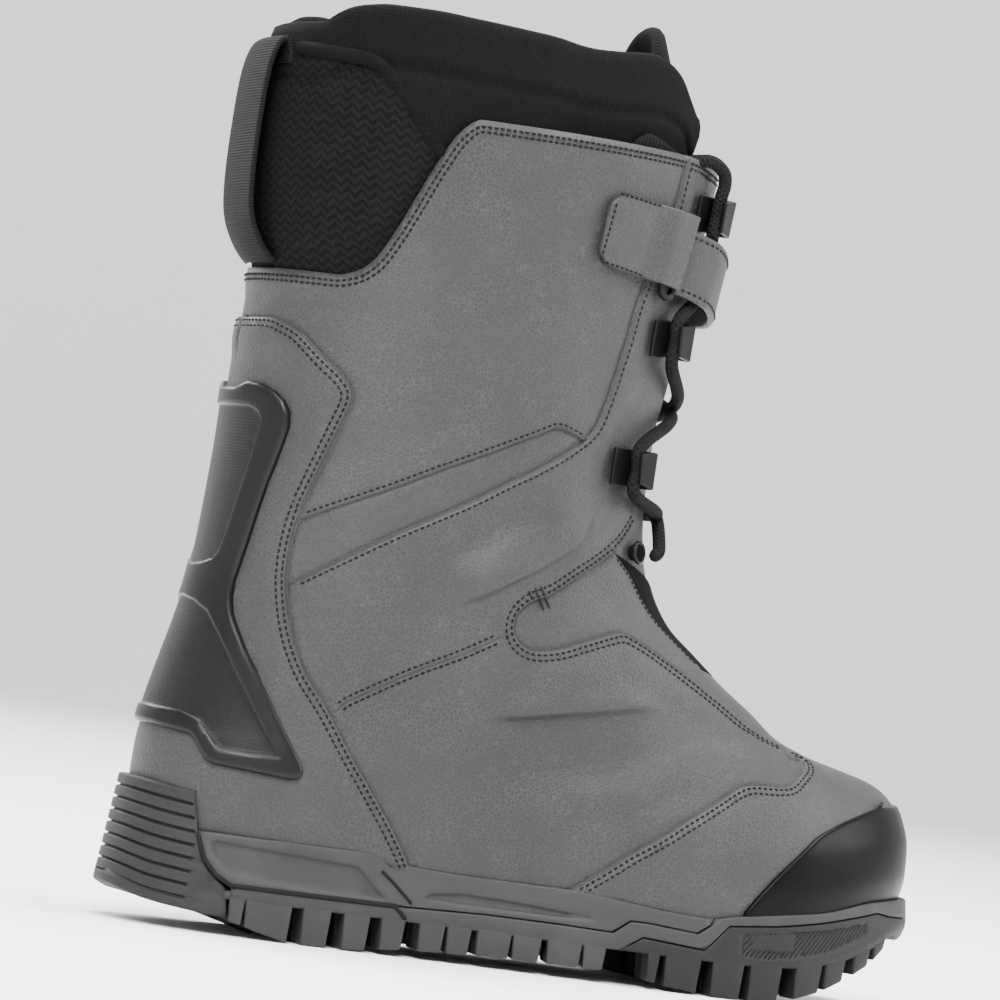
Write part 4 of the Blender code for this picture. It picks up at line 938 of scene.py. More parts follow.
def plateFinish():
    f = Finish("heelPlastic", Specular_IOR_Level=0.15)
    u, v, deep = f.lay()
    at = f.where()
    pitch = 1.25 * mm
    a = (u / pitch + v / pitch * 0.5) % 1.0 - 0.5
    b = (v / (pitch * 0.866)) % 1.0 - 0.5
    dots = (a * a + b * b) ** 0.5
    bumpy = f.ramp(dots, (0.16, 1.0), (0.36, 0.0))
    recess = f.ramp(deep / (10 * mm), (0.40, 0.0), (0.46, 1.0))
    colour = f.mix(recess, (0.0052, 0.0049, 0.0048), (0.0034, 0.0032, 0.0032))
    colour = f.mix(bumpy * recess * 0.5, colour, (0.0075, 0.0072, 0.0072))
    normal = f.bump(bumpy * recess, 0.22 * mm, 0.8)
    normal = f.bump(f.noise(at, 1100, 2), 0.04 * mm, 1.0, normal)
    return f.done(Base_Color=colour, Roughness=f.noise(at, 90, 3) * 0.1 + recess * 0.10 + 0.30,
        Normal=normal)


def heelPlate():
    path = ((240, 387), (251, 381), (264, 384), (276, 391), (286, 401), (291, 413), (290, 428),
        (284, 445), (269, 483), (256, 521), (243, 560), (236, 580), (233, 597), (234, 613), (243, 639),
        (256, 668), (269, 698), (285, 732), (301, 764), (303, 773), (298, 780), (288, 780), (250, 772),
        (212, 764), (206, 760), (195, 739), (190, 734), (182, 732), (156, 724), (140, 721))
    outline = halfOutline(path, 2 * mm, -1.0)
    upperPath = ((243, 404), (255, 405), (263, 411), (266, 421), (259, 446), (243, 496), (230, 536),
        (224, 552), (217, 561), (206, 565), (196, 566), (186, 567))
    lowerPath = ((184, 594), (200, 600), (212, 611), (221, 631), (232, 655), (245, 685), (262, 722),
        (281, 760), (250, 756), (218, 750), (210, 738), (200, 722), (182, 713), (150, 706))
    recesses = [halfOutline(p, 2 * mm, -1.0) for p in (upperPath, lowerPath)]

    def height(flat, far):
        drop = np.zeros(len(flat))
        for one in recesses:
            drop = np.maximum(drop, ease(depthInside(one, flat, 5 * mm), 0.0, 1.1 * mm))
        return -0.95 * mm * drop

    loops = recesses + [inset(one, d * mm) for one in recesses for d in (0.35, 0.75, 1.15)]
    piece = raised("heelPlate", outline, plateFinish(), "heel_plate", thick=2.5 * mm, edge=1.6 * mm,
        slot="heel_plastic",
                   height=height, loops=loops, base=lambda flat: relief(flat) + 0.2 * mm)
    mesh = piece.data
    lay = np.zeros(len(mesh.vertices) * 3, np.float32)
    mesh.attributes["lay"].data.foreach_get("vector", lay)
    lay = lay.reshape(-1, 3)
    flat = lay[:, :2] / flatScale
    deep = np.zeros(len(lay))
    for one in recesses:
        deep = np.maximum(deep,
            depthInside(one, flat, 10 * mm) + 3.5 * mm * inside(one * flatScale, lay[:, :2]))
    lay[:, 2] = deep
    mesh.attributes["lay"].data.foreach_set("vector", lay.ravel())


heelPlate()


def gusset():
    edgePath = onBoot(seams["gusset"]["path"])
    slot = throatLine()
    top = slot[slot[:, 1] <= edgePath[0, 1] + 0.4]
    line = smoothLine(edgePath, 2 * mm)
    line[:, 0] = np.minimum(line[:, 0], -0.01)
    foot = (0.0, line[-1, 1] - 0.3)
    half = np.concatenate((line, [foot]))
    upper_ = [(0.0, line[0, 1] - 0.9)]
    outline = straightLine(np.concatenate((half, mirrored(half)[::-1][1:], upper_)), 2 * mm, True)
    raised("gusset", outline, gussetKnit, thick=0.35 * mm, edge=0.8 * mm, slot="tongue_mesh")


# Soft pieces: cushioned layers over the form
def spread(start, end, count, near):  # even places with a few closer ones by both ends; near is a share
    inner = np.linspace(near, 1 - near, count)
    ends = near * np.array((0, 0.05, 0.18, 0.38, 0.66))
    s = np.concatenate((ends, inner, 1 - ends[::-1]))
    return start + (end - start) * s


def pad(name, turns, levels, middle, thick, edge, finish, *replaced, slot, pressed=None):
    # a closed layer round a middle surface; its faces meet in a round rim. lay holds metres along and up
    place = skin(levels, turns, middle)
    normal = slopes(levels, turns)[2]
    stepU = np.linalg.norm(np.diff(place, axis=1), axis=2)
    stepV = np.linalg.norm(np.diff(place, axis=0), axis=2)
    u = np.concatenate((np.zeros((len(place), 1)), np.cumsum(stepU, 1)), 1)
    v = np.concatenate((np.zeros((1, place.shape[1])), np.cumsum(stepV, 0)), 0)
    far = np.minimum(np.minimum(u, u[:, -1:] - u), np.minimum(v, v[-1:] - v))
    half = thick / 2 * np.sqrt(1 - (1 - np.clip(far / edge, 0, 1)) ** 2)
    outer = place + normal * (half + (pressed(u, v) if pressed is not None else 0) * (far > 0))[..., None]
    inner = place - normal * half[..., None]
    rows, columns = turns.shape
    points = np.concatenate((outer.reshape(-1, 3), inner.reshape(-1, 3)))
    faces = gridFaces(rows, columns) + gridFaces(rows, columns, first=rows * columns, flip=True)
    flat = np.stack((u - u[:, -1:] / 2, v, far), -1).reshape(-1, 3)
    mesh = welded(meshFrom(name, points, faces, np.concatenate((flat, flat))), 0.004 * mm)
    piece = addPiece(name, mesh, finish, *replaced, slot=slot)
    print(name, len(mesh.polygons))
    return piece


def tubeMesh(name, points, radius, sides=14, closed=False, wave=None):
    points = np.array([tuple(p) for p in points])
    count = len(points)
    along = np.roll(points, -1, 0) - np.roll(points, 1, 0) if closed else np.gradient(points, axis=0)
    along /= np.linalg.norm(along, axis=1, keepdims=True)
    across = np.cross(along[0], (0.3, 0.2, 0.93))
    ringsOut, lay = [], []
    run = 0.0
    for i in range(count):
        across = across - along[i] * (across @ along[i])
        across /= np.linalg.norm(across)
        other = np.cross(along[i], across)
        if i:
            run += np.linalg.norm(points[i] - points[i - 1])
        stages = [(0.0, 1.0)]
        if not closed and i == 0:
            stages = [(-math.cos(a), math.sin(a)) for a in (0.02, 0.5, 1.0)] + stages
        if not closed and i == count - 1:
            stages = stages + [(math.cos(a), math.sin(a)) for a in (1.0, 0.5, 0.02)]
        for shift, size in stages:
            ring = []
            for k in range(sides):
                a = 2 * math.pi * k / sides
                r = radius * size * (1 + (wave(run, a) if wave else 0))
                outwards = across * math.cos(a) + other * math.sin(a)
                ring.append(points[i] + along[i] * shift * radius + outwards * r)
                lay.append((run, a * radius, 0))
            ringsOut.append(ring)
    flat = [p for ring in ringsOut for p in ring]
    faces = gridFaces(len(ringsOut), sides, around=True)
    if closed:
        last = (len(ringsOut) - 1) * sides
        faces += [(last + k, last + (k + 1) % sides, (k + 1) % sides, k) for k in range(sides)]
    else:
        last = (len(ringsOut) - 1) * sides
        faces += [tuple(range(sides))[::-1], tuple(range(last, last + sides))]
    return welded(meshFrom(name, flat, faces, lay), 0.002 * mm)


def spline3(points, count):  # an even run of world points along a smooth curve
    places = np.array([tuple(p) for p in points])
    steps = np.concatenate(([0], np.cumsum(np.linalg.norm(np.diff(places, axis=0), axis=1) ** 0.5)))
    padded = np.concatenate((2 * places[:1] - places[1:2], places, 2 * places[-1:] - places[-2:-1]))
    made = []
    for t in np.linspace(0, steps[-1], count):
        i = min(int(np.searchsorted(steps, t, side="right")) - 1, len(places) - 2)
        s = (t - steps[i]) / (steps[i + 1] - steps[i])
        a, b, c, d = padded[i:i + 4]
        made.append(0.5 * (2 * b + (c - a) * s + (2 * a - 5 * b + 4 * c - d) * s * s +
                           (3 * b - a - 3 * c + d) * s ** 3))
    return np.array(made)


gap = 0.3 * mm
wall = dict(upper=2.4 * mm, tongue=3.5 * mm, liner=4.0 * mm, facing=0.8 * mm)


def knitFinish(name, colour, ribs, depth, bright=2.2, rough=0.88, zigzag=False):
    # ribs: pitch across and along; zigzag panels where lay's third value is above zero
    f = Finish(name, Specular_IOR_Level=0.05)
    u, v, _far = f.lay()
    at = f.where()
    wobble = f.noise(at, 300, 2) * (0.5 * mm)
    a = ((u + wobble) / ribs[0] * 2 * math.pi).wave() * 0.5 + 0.5
    b = ((v + wobble) / ribs[1] * 2 * math.pi).wave() * 0.5 + 0.5
    fabric = a * 0.6 + b * a * 0.4
    if zigzag:
        tooth = abs(((u / (5.2 * mm)) % 1.0) - 0.5) * 2
        line = (((v + tooth * (2.6 * mm)) / (3.4 * mm)) * 2 * math.pi).wave() * 0.5 + 0.5
        region = f.node("ShaderNodeAttribute", {"attribute_name": "zigzag"}, {}, "Fac")
        fabric = fabric * (1 - region) + (line * 0.8 + a * 0.2) * region
    fuzz = f.noise(at, 2600, 3)
    shade = f.mix(fabric * 0.8 + fuzz * 0.25, tuple(c * 0.55 for c in colour),
        tuple(c * bright for c in colour))
    normal = f.bump(fabric + fuzz * 0.3, depth)
    return f.done(Base_Color=shade, Roughness=f.noise(at, 500) * 0.1 + (rough - 0.05), Normal=normal)


linerKnit = knitFinish("linerKnit", (0.0030, 0.0029, 0.0029), (0.95 * mm, 1.3 * mm), 0.22 * mm, zigzag=True)
gussetKnit = knitFinish("gussetKnit", (0.0026, 0.0025, 0.0025), (1.1 * mm, 1.1 * mm), 0.2 * mm)
tongueMesh = knitFinish("tongueMesh", (0.0042, 0.0041, 0.0041), (1.6 * mm, 1.6 * mm), 0.35 * mm)
bindingKnit = knitFinish("bindingKnit", (0.0028, 0.0027, 0.0027), (0.8 * mm, 0.6 * mm), 0.15 * mm)


def frontTurn(half):  # the turn at which the form is half wide of the throat's middle, by level
    centre = float(planCentre(0.62)) + form["origin"][1]
    heights = np.linspace(float(rise(0.40)), float(rise(1.10)), 24)
    found = np.array([fromFront(centre - half, z) for z in heights])
    return lambda level: np.interp(level, found[:, 1], found[:, 0])


def linerDepth(turn):
    wrapped = np.abs((turn + 1) % 2 - 1)
    return wall["upper"] + gap + (wall["tongue"] + gap) * (1 - ease(wrapped, 0.43, 0.50))


weltPath = ((300, 47), (325, 51), (350, 55), (371, 60), (386, 71), (396, 84), (407, 101), (419, 121),
    (432, 140), (446, 160))


collarRim = (  # the padding's top edge: share of the length, mm over the floor
    (0.0, 336.5), (0.093, 337.8), (0.105, 341.2), (0.118, 343.8), (0.133, 345.2), (0.160, 346.3), (0.210,
        346.2),
    (0.255, 345.4), (0.310, 344.6), (0.360, 343.8), (0.410, 342.8), (0.450, 343.8), (0.480, 345.2), (0.500,
        345.8),
    (0.522, 344.6), (0.545, 340.5), (0.563, 333.5), (0.580, 327.5), (0.620, 322.0),
)


def liner():
    slot = frontTurn(31 * mm)
    down = np.unique(np.concatenate((spread(0, 1, 96, 0.05), np.linspace(0.925, 0.97, 26))))
    across = spread(0, 1, 210, 0.012)
    turns = np.zeros((len(down), len(across)))
    levels = np.zeros_like(turns)
    guess = np.full(len(across), 20.5)
    for _ in range(3):
        a = slot(guess)
        line = a + (-2 - 2 * a) * across
        guess = levelWhere((line + 1) % 2 - 1, lambda x: read(collarRim, x / form["length"]) * mm)
    first = 9.0
    for j, h in enumerate(down):
        level = first + (guess - first) * h
        a = slot(level)
        turns[j] = a + (-2 - 2 * a) * across
        levels[j] = level
    place = skin(levels, turns)
    height = (place[..., 2] - float(rise(0))) / form["rise"]
    rim = np.interp((place[..., 0] - form["origin"][0]) / form["length"], *zip(*form["shaftTop"]))
    above = (height - rim) * form["rise"]
    swell = 2.6 * mm * ease(above, 1 * mm, 14 * mm)
    topward = (guess[None, :] - levels) * 13.5 * mm
    swell -= 2.4 * mm * (1 - ease(topward, 0, 14 * mm)) * (above > 0)
    groove = np.exp(-((topward - 8.0 * mm) / (0.9 * mm)) ** 2) * 1.5 * mm
    welt = smoothLine(onBoot(weltPath), 3 * mm)
    region = weltRegion(welt, turns, levels)
    middle = swell - groove - linerDepth(turns) - wall["liner"] / 2
    piece = pad("linerPadding", turns, levels, middle, wall["liner"] + 1.0 * mm, 3.4 * mm, linerKnit,
        "liner", slot="liner_knit")
    mesh = piece.data
    tree_ = KDTree(turns.size)
    spots = skin(levels, turns, middle).reshape(-1, 3)
    for i, p in enumerate(spots):
        tree_.insert(p, i)
    tree_.balance()
    flatRegion = region.ravel()
    zig = mesh.attributes.new("zigzag", "FLOAT", "POINT")
    for vert in mesh.vertices:
        zig.data[vert.index].value = flatRegion[tree_.find(vert.co)[1]]
    lift_ = float(np.median(middle[above > 8 * mm]))
    for hand in (1, -1):
        line = smoothLine(welt * (hand, 1), 1.5 * mm)
        heights = lift_ + 2.0 * mm - 6 * mm * ease(np.linspace(0, 1, len(line)), 0.94, 1.0)
        addPiece("linerWelt" + ("Outer" if hand > 0 else "Inner"),
                 tubeMesh("linerWelt", skin(line[:, 1], line[:, 0], heights), 2.8 * mm, 12),
                 bindingKnit, slot="liner_knit")


def weltRegion(welt, turns, levels):  # 1 below and behind the welt, on both sides
    outline = np.concatenate((welt * (1, 1), [(welt[-1, 0], 8.0), (-1.0, 8.0), (-1.0, welt[0, 1])]))
    folded = np.where(turns < -1, -2 - turns, turns)
    flat = np.stack((folded.ravel(), levels.ravel()), -1)
    return inside(outline, flat).reshape(turns.shape) * 1.0


liner()


linerPadShape = dict(top=348 * mm, lean=15 * mm, span=(0.285, 0.352))


def tongues():
    for name, table, reach, depth, thick, edge, first, finish, node, slotName in (
        ("tongueSheet", "tongueTop", 0.385, wall["upper"] + gap + wall["tongue"] / 2, wall["tongue"],
            1.8 * mm, 9.0, tongueMesh, "tongue", "tongue_mesh"),
        ("linerPad", None, 0.30,
            wall["upper"] + wall["tongue"] + wall["liner"] + 4 * gap + 3.2 * mm,
         6.0 * mm, 3.2 * mm, 12.0, tongueMesh, "liner_tongue", "tongue_mesh"),
    ):
        across = spread(-reach, reach, 70, 0.03)
        down = spread(0, 1, 80, 0.03)
        pad_ = table is None
        top = levelWhere(across, linerPadShape["top"] if pad_ else heightLine(table))
        corner = 0.07
        drop = 1 - np.sqrt(1 - np.clip((np.abs(across) - (reach - corner)) / corner, 0, 1) ** 2)
        if pad_:  # one round arch from side to side
            drop = drop * 0.6 + (np.abs(across) / reach) ** 2.4
        top = top - drop * 1.3
        levels = first + (top - first)[None, :] * down[:, None]
        turns = np.broadcast_to(across, levels.shape)
        middle = np.full(levels.shape, -depth)
        piece = pad(name, turns, levels, middle, thick, edge, finish, node, slot=slotName)
        if pad_:  # its top leans back into the shaft
            for vert in piece.data.vertices:
                lean = linerPadShape["lean"] * float(ease(vert.co.z, *linerPadShape["span"]))
                vert.co.x -= lean
                vert.co.z += lean


tongues()


def webbingFinish():
    f = Finish("webbing", Specular_IOR_Level=0.07)
    u, v, _w = f.lay()
    at = f.where()
    ribs_ = ((v / (1.05 * mm)) * 2 * math.pi).wave() * 0.5 + 0.5
    cross = ((u / (1.5 * mm)) * 2 * math.pi).wave() * 0.5 + 0.5
    fabric = ribs_ * 0.75 + cross * 0.25
    fuzz = f.noise(at, 2200, 2)
    colour = f.mix(fabric * 0.8 + fuzz * 0.3, (0.0016, 0.0015, 0.0015), (0.0072, 0.0070, 0.0068))
    return f.done(Base_Color=colour, Roughness=fuzz * 0.1 + 0.72,
        Normal=f.bump(fabric + fuzz * 0.2, 0.3 * mm))


loopPath = (
    (0.0695, 1.010), (0.0692, 1.028), (0.0645, 1.042), (0.0570, 1.030), (0.0515, 0.985), (0.0497, 0.920),
    (0.0503, 0.860), (0.0545, 0.812), (0.0630, 0.780), (0.0740, 0.760), (0.0830, 0.751),
)


def pullLoop():
    path = spline3([(x * form["length"], 0, float(rise(z))) for x, z in loopPath], 110)
    path = path + np.array(form["origin"])
    path[:, 1] = 0.0
    half, bend = 18 * mm, 56 * mm
    across = spread(-1, 1, 26, 0.03)
    along = np.gradient(path, axis=0)
    along /= np.linalg.norm(along, axis=1, keepdims=True)
    outward = np.stack((along[:, 2], np.zeros(len(path)), -along[:, 0]), -1)
    rows = []
    for side_ in (-1, 1):
        for i, point in enumerate(path):
            end = min(i, len(path) - 1 - i) / len(path)
            curve = 1.0 - 0.75 * float(ease(end, 0.05, 0.3))
            row = []
            for y in across:
                sag = (y * half) ** 2 / (2 * bend) * curve
                edge = 1 - np.clip((half * (1 - abs(y))) / (0.9 * mm), 0, 1)
                thick = 1.0 * mm * math.sqrt(max(1 - edge ** 2, 0))
                row.append(point + outward[i] * side_ * thick + np.array((sag, y * half, 0)))
            rows.append(row)
    points = np.array(rows).reshape(-1, 3)
    run = np.concatenate(([0], np.cumsum(np.linalg.norm(np.diff(path, axis=0), axis=1))))
    lay = [(y * half, v, 0) for v in run for y in across] * 2
    n, m = len(path), len(across)
    faces = gridFaces(n, m) + gridFaces(n, m, first=n * m, flip=True)
    for i in range(m - 1):
        faces.append((i, i + 1, n * m + i + 1, n * m + i))
        faces.append(((n - 1) * m + i, (n - 1) * m + i + 1, (2 * n - 1) * m + i + 1, (2 * n - 1) * m + i))
    mesh = welded(meshFrom("pullLoop", points, faces, lay), 0.004 * mm)
    addPiece("pullLoop", mesh, webbingFinish(), "pull_loop", slot="webbing")


pullLoop()
gusset()

# Strap, ring, hooks, eyelets and lace
strapBand = dict(width=25 * mm, thick=2.4 * mm, arch=7.6 * mm, archSpan=(0.15, 0.245), drop=9 * mm,
    span=(0.228, 0.400))
ringPlace = (0.835, 0.250)
ringWire, foldWall = 3.0 * mm, 1.1 * mm


def strapCentre(turn):
    return ringPlace[0] - strapBand["drop"] / form["rise"] * (1 - ease(np.abs(turn), 0.0,
        ringPlace[1] + 0.02))


def placeOn(share, turn, height=0.0):
    turn = float(turn)
    level = float(levelWhere(turn, float(rise(share)))[0])
    round_, up, out = (v for v in slopes(level, turn))
    round_ = round_ / np.linalg.norm(round_)
    forward = round_ if turn < 0 else -round_
    up = up - out * (up @ out) - forward * (up @ forward)
    up = up / np.linalg.norm(up)
    return skin(level, turn, height), forward, up, out


tabPatch = dict(
    corners=((610, 190), (685, 214), (664, 288), (593, 263)),
    thick=2.4 * mm, corner=6.5 * mm, rise=4.4 * mm,
    box=((615, 192), (657, 206), (638, 275), (596, 260)),
)


def strapTab():
    a, b, c, d = onBoot(tabPatch["corners"])
    size = 29 * mm
    across, up = spread(0, 1, 30, 0.06)[None, :, None], spread(0, 1, 24, 0.06)[:, None, None]
    tuck = tabPatch["corner"]
    fromBack = across[0, :, 0] * size
    cut = np.where(fromBack < tuck, tuck - np.sqrt(np.maximum(tuck ** 2 - (tuck - fromBack) ** 2, 0)),
        0) / size
    up = cut[None, :, None] + (1 - 2 * cut[None, :, None]) * up
    flat = (d + (c - d) * across) * (1 - up) + (a + (b - a) * across) * up
    under = wall["facing"] + gap + tabPatch["thick"] / 2
    pad("strapTab", flat[..., 0], flat[..., 1],
        under + tabPatch["rise"] * ease(np.broadcast_to(across[..., 0], flat.shape[:2]), 0.48,
            0.74), tabPatch["thick"], 1.1 * mm, leather, "strap_tab", slot="leather")
    box = smoothLine(straightLine(onBoot(tabPatch["box"]), 4 * mm, True), stitch["pitch"] * 0.94)
    return ((box[:-1] + box[1:]) / 2, box, np.full(len(box) - 1, under + tabPatch["thick"] / 2))


def strapPieces():
    under = wall["facing"] + gap + strapBand["thick"] / 2
    start, end = -strapBand["span"][0], strapBand["span"][1]
    across = spread(start, end, 130, 0.012)
    shares = spread(-0.5, 0.5, 12, 0.08)
    corner = 5 * mm
    height = rise(strapCentre(across))
    fromFar = np.abs(across - end) * 300 * mm
    shrink = np.where(fromFar < corner,
        corner - np.sqrt(np.maximum(corner ** 2 - (corner - fromFar) ** 2, 0)), 0)
    wide = strapBand["width"] - 2 * shrink
    levels = np.zeros((len(shares), len(across)))
    for k, turn in enumerate(across):
        low = levelWhere(turn, height[k] - wide[k] / 2)[0]
        high = levelWhere(turn, height[k] + wide[k] / 2)[0]
        levels[:, k] = low + (high - low) * (shares + 0.5)
    turns = np.broadcast_to(across, levels.shape)
    archAt = lambda at: strapBand["arch"] * (1 - ease(np.abs(at), *strapBand["archSpan"]))
    middle = np.broadcast_to(under + archAt(across), levels.shape)
    pad("strapLength", turns, levels, middle, strapBand["thick"], 1.1 * mm, leather, "strap",
        slot="leather")
    stitches = [strapTab()]
    inset_ = 2.4 * mm
    for share in (-1, 1):
        at = across[(np.abs(across - start) * 300 * mm > 3.5 * mm) & (fromFar > 3.0 * mm)]
        level = np.array([levelWhere(t,
            rise(strapCentre(t)) + share * (strapBand["width"] / 2 - inset_))[0] for t in at])
        even = smoothLine(np.stack((at, level), -1), stitch["pitch"] * 0.94)
        middles = (even[:-1] + even[1:]) / 2
        stitches.append((middles, even,
            np.interp(middles[:, 0], at, under + archAt(at) + strapBand["thick"] / 2)))
    turn = end - 0.012
    ends = [levelWhere(turn,
        rise(strapCentre(turn)) + s * (strapBand["width"] / 2 - inset_ - 0.6 * mm))[0] for s in (-1, 1)]
    even = smoothLine(np.array([(turn, ends[0]), (turn, ends[1])]), stitch["pitch"] * 0.94)
    middles = (even[:-1] + even[1:]) / 2
    stitches.append((middles, even, np.full(len(middles), under + strapBand["thick"] / 2)))
    marks = []
    for middles, even, high in stitches:
        marks += stitchMarks([(middles, even)], lambda flat: high)
    addPiece("strapStitches", stitchMesh("strapStitches", marks), thread, slot="leather")


strapPieces()


def metalFinish(name, colour, rough, metallic, coat=0.0):
    f = Finish(name, Metallic=metallic, Coat_Weight=coat, Coat_Roughness=0.15, Specular_IOR_Level=0.1)
    at = f.where()
    tone = f.mix(f.noise(at, 120, 3), tuple(c * 0.8 for c in colour), tuple(c * 1.25 for c in colour))
    return f.done(Base_Color=tone, Roughness=f.noise(at, 260, 3) * 0.12 + (rough - 0.06),
        Normal=f.bump(f.noise(at, 900, 2), 0.02 * mm))


ringMetal = metalFinish("ringMetal", (0.0030, 0.0030, 0.0030), 0.42, 0.0, 0.02)
hookMetal = metalFinish("hookMetal", (0.0030, 0.0029, 0.0029), 0.34, 0.0, 0.05)


def ring():
    wire, high = ringWire / 2, wall["facing"] + gap + ringWire / 2 + foldWall + gap
    bar, reach = 9.5 * mm / 2 - wire, 33 * mm / 2 - wire
    point, forward, up, out = placeOn(ringPlace[0], -ringPlace[1], high)
    at = lambda offset, length: point + forward * offset + up * length
    path = []
    for side_ in (1, -1):
        for a in np.linspace(0, math.pi, 14):
            path.append(at(side_ * bar * math.cos(a), side_ * (reach - bar + bar * math.sin(a))))
        start, end = path[-1], at(-side_ * bar, -side_ * (reach - bar))
        path += [start + (end - start) * s for s in np.linspace(0, 1, 14)[1:-1]]
    addPiece("strapRing", tubeMesh("strapRing", path, wire, 16, closed=True), ringMetal, "strap_ring",
        slot="ring_metal")


ring()
hooksAt = ((0.901, 0.165), (0.727, 0.205), (0.550, 0.235))
eyeletAt = (0.440, 0.185)
hookSize = dict(length=16 * mm, rear=0.58, height=14 * mm, plate=1.5 * mm, face=9.5 * mm, lift=0.5 * mm)
laceWidth = 5.0 * mm
# up, forward and inwards of the top hook, mm
laceEnd = ((12.5, 1.0, 0.0), (17.0, -0.5, 1.0), (19.8, -6.0, 4.5), (18.5, -11.5, 9.5))


def hook(name, node, share, turn):
    h = hookSize
    channel = laceWidth + 4 * gap
    back, front = -h["length"] * h["rear"], h["length"] * (1 - h["rear"])
    face, plate = front - h["face"], h["plate"]
    outline = (
        (back, 0), (front, 0), (front, 2 * plate + channel), (face, 2 * plate + channel),
        (face, plate + channel),
        (front - plate, plate + channel), (front - plate, plate), (back, plate),
    )
    point, forward, up, out = placeOn(share, turn, wall["facing"] + gap + h["lift"])
    bm = bmesh.new()
    bottom = bm.faces.new([bm.verts.new((a, b, -h["height"] / 2)) for a, b in outline])
    moved = bmesh.ops.extrude_face_region(bm, geom=[bottom])["geom"]
    bmesh.ops.translate(bm, verts=[v for v in moved if isinstance(v, bmesh.types.BMVert)],
        vec=(0, 0, h["height"]))
    for vert in bm.verts:  # the cover tapers to its free end and has a cut lower corner
        if vert.co.x < face + 0.1 * mm and vert.co.y > plate + channel - 0.1 * mm:
            vert.co.z *= 0.86 if vert.co.z > 0 else 0.80
            if vert.co.z < 0:
                vert.co.x += 1.2 * mm
    frame_ = Matrix((Vector(forward), Vector(out), Vector(up))).transposed().to_4x4()
    frame_.translation = Vector(point)
    bmesh.ops.transform(bm, matrix=frame_, verts=bm.verts)
    bmesh.ops.recalc_face_normals(bm, faces=bm.faces)
    mesh = bpy.data.meshes.new(name)
    bm.to_mesh(mesh)
    bm.free()
    mesh.shade_smooth()
    piece = addPiece(name, mesh, hookMetal, node, slot="hook_metal")
    soft = piece.modifiers.new("edges", "BEVEL")
    soft.width, soft.segments, soft.limit_method, soft.harden_normals = 0.55 * mm, 3, "ANGLE", True


for row, (share, turn) in enumerate(hooksAt):
    for hand, label in ((-1, "outer"), (1, "inner")):
        hook(f"{label}Hook{row + 1}", f"hook_{label}_{row + 1}", share, hand * turn)
for hand, label in ((-1, "outer"), (1, "inner")):
    point, forward, up, out = placeOn(eyeletAt[0], hand * eyeletAt[1],
        wall["facing"] + gap + 1.3 * mm + 0.9 * mm)
    angles = np.linspace(0, 2 * math.pi, 33)[:-1]
    circle = [point + (forward * math.cos(a) + up * math.sin(a)) * 3.6 * mm for a in angles]
    addPiece(f"{label}Eyelet", tubeMesh("eyelet", circle, 0.9 * mm, 14, closed=True), hookMetal,
        f"eyelet_{label}", slot="hook_metal")
    hole = tubeMesh("eyeletHole", [point - out * depth * mm for depth in (1.4, 1.1, 0.8)], 3.3 * mm, 24)
    addPiece(f"{label}EyeletHole", hole, gussetKnit, slot="hook_metal")


def laceRoute(hand):
    over = wall["facing"] + 2 * gap + laceWidth / 2
    channel = wall["facing"] + hookSize["lift"] + 3 * gap + hookSize["plate"] + laceWidth / 2
    stops = [eyeletAt] + [hooksAt[i] for i in (2, 1, 0)]
    points = []
    for step, (share, turn) in enumerate(stops):
        now = hand if step % 2 == 0 else -hand
        if step:
            point, forward, up, out = placeOn(share, now * turn, channel)
            back = hookSize["plate"] + 5 * gap + laceWidth / 2
            sit = point + forward * (hookSize["length"] * (1 - hookSize["rear"]) - back)
            above = 0.60 if step < 3 else 0.53
            points += [sit - up * hookSize["height"] * 0.66, sit, sit + up * hookSize["height"] * above]
            if step == 3:
                points += [sit + up * u * mm + forward * f * mm - out * o * mm for u, f, o in laceEnd]
        else:
            point, forward, up, out = placeOn(share, now * turn, over + 1.3 * mm)
            points += [point + forward * 9.9 * mm, point + forward * 12.6 * mm + up * laceWidth * 0.6]
        if step < 3:
            nextShare, nextTurn = stops[step + 1]
            start, end = now * turn, -now * nextTurn
            lift_ = hookSize["height"] * 0.90 / form["rise"]
            for part in (0.28, 0.50, 0.72):
                height = share + lift_ + (nextShare - share - 2 * lift_) * part
                here = start + (end - start) * part
                points.append(placeOn(height, here if abs(here) > 0.001 else -0.001, over + gap)[0])
    return points


def laceFinish():
    f = Finish("laceCord", Specular_IOR_Level=0.06)
    u, v, _w = f.lay()
    at = f.where()
    a = ((u / (1.9 * mm) + v / (3.9 * mm)) * 2 * math.pi).wave() * 0.5 + 0.5
    b = ((u / (1.9 * mm) - v / (3.9 * mm)) * 2 * math.pi).wave() * 0.5 + 0.5
    braid = a.most(b)
    fuzz = f.noise(at, 2400, 2)
    colour = f.mix(braid * 0.7 + fuzz * 0.3, (0.0020, 0.0020, 0.0020), (0.0095, 0.0092, 0.0092))
    return f.done(Base_Color=colour, Roughness=fuzz * 0.08 + 0.8,
        Normal=f.bump(braid + fuzz * 0.3, 0.35 * mm))


cordLook = laceFinish()
for hand, label in ((-1, "Left"), (1, "Right")):
    route = spline3(laceRoute(hand), 170)
    print("lace", round(float(np.linalg.norm(np.diff(route, axis=0), axis=1).sum()), 3))
    addPiece("lace" + label, tubeMesh("lace", route, laceWidth / 2, 16), cordLook,
        *(("lace",) if hand < 0 else ()), slot="lace_cord")
print("trim done")


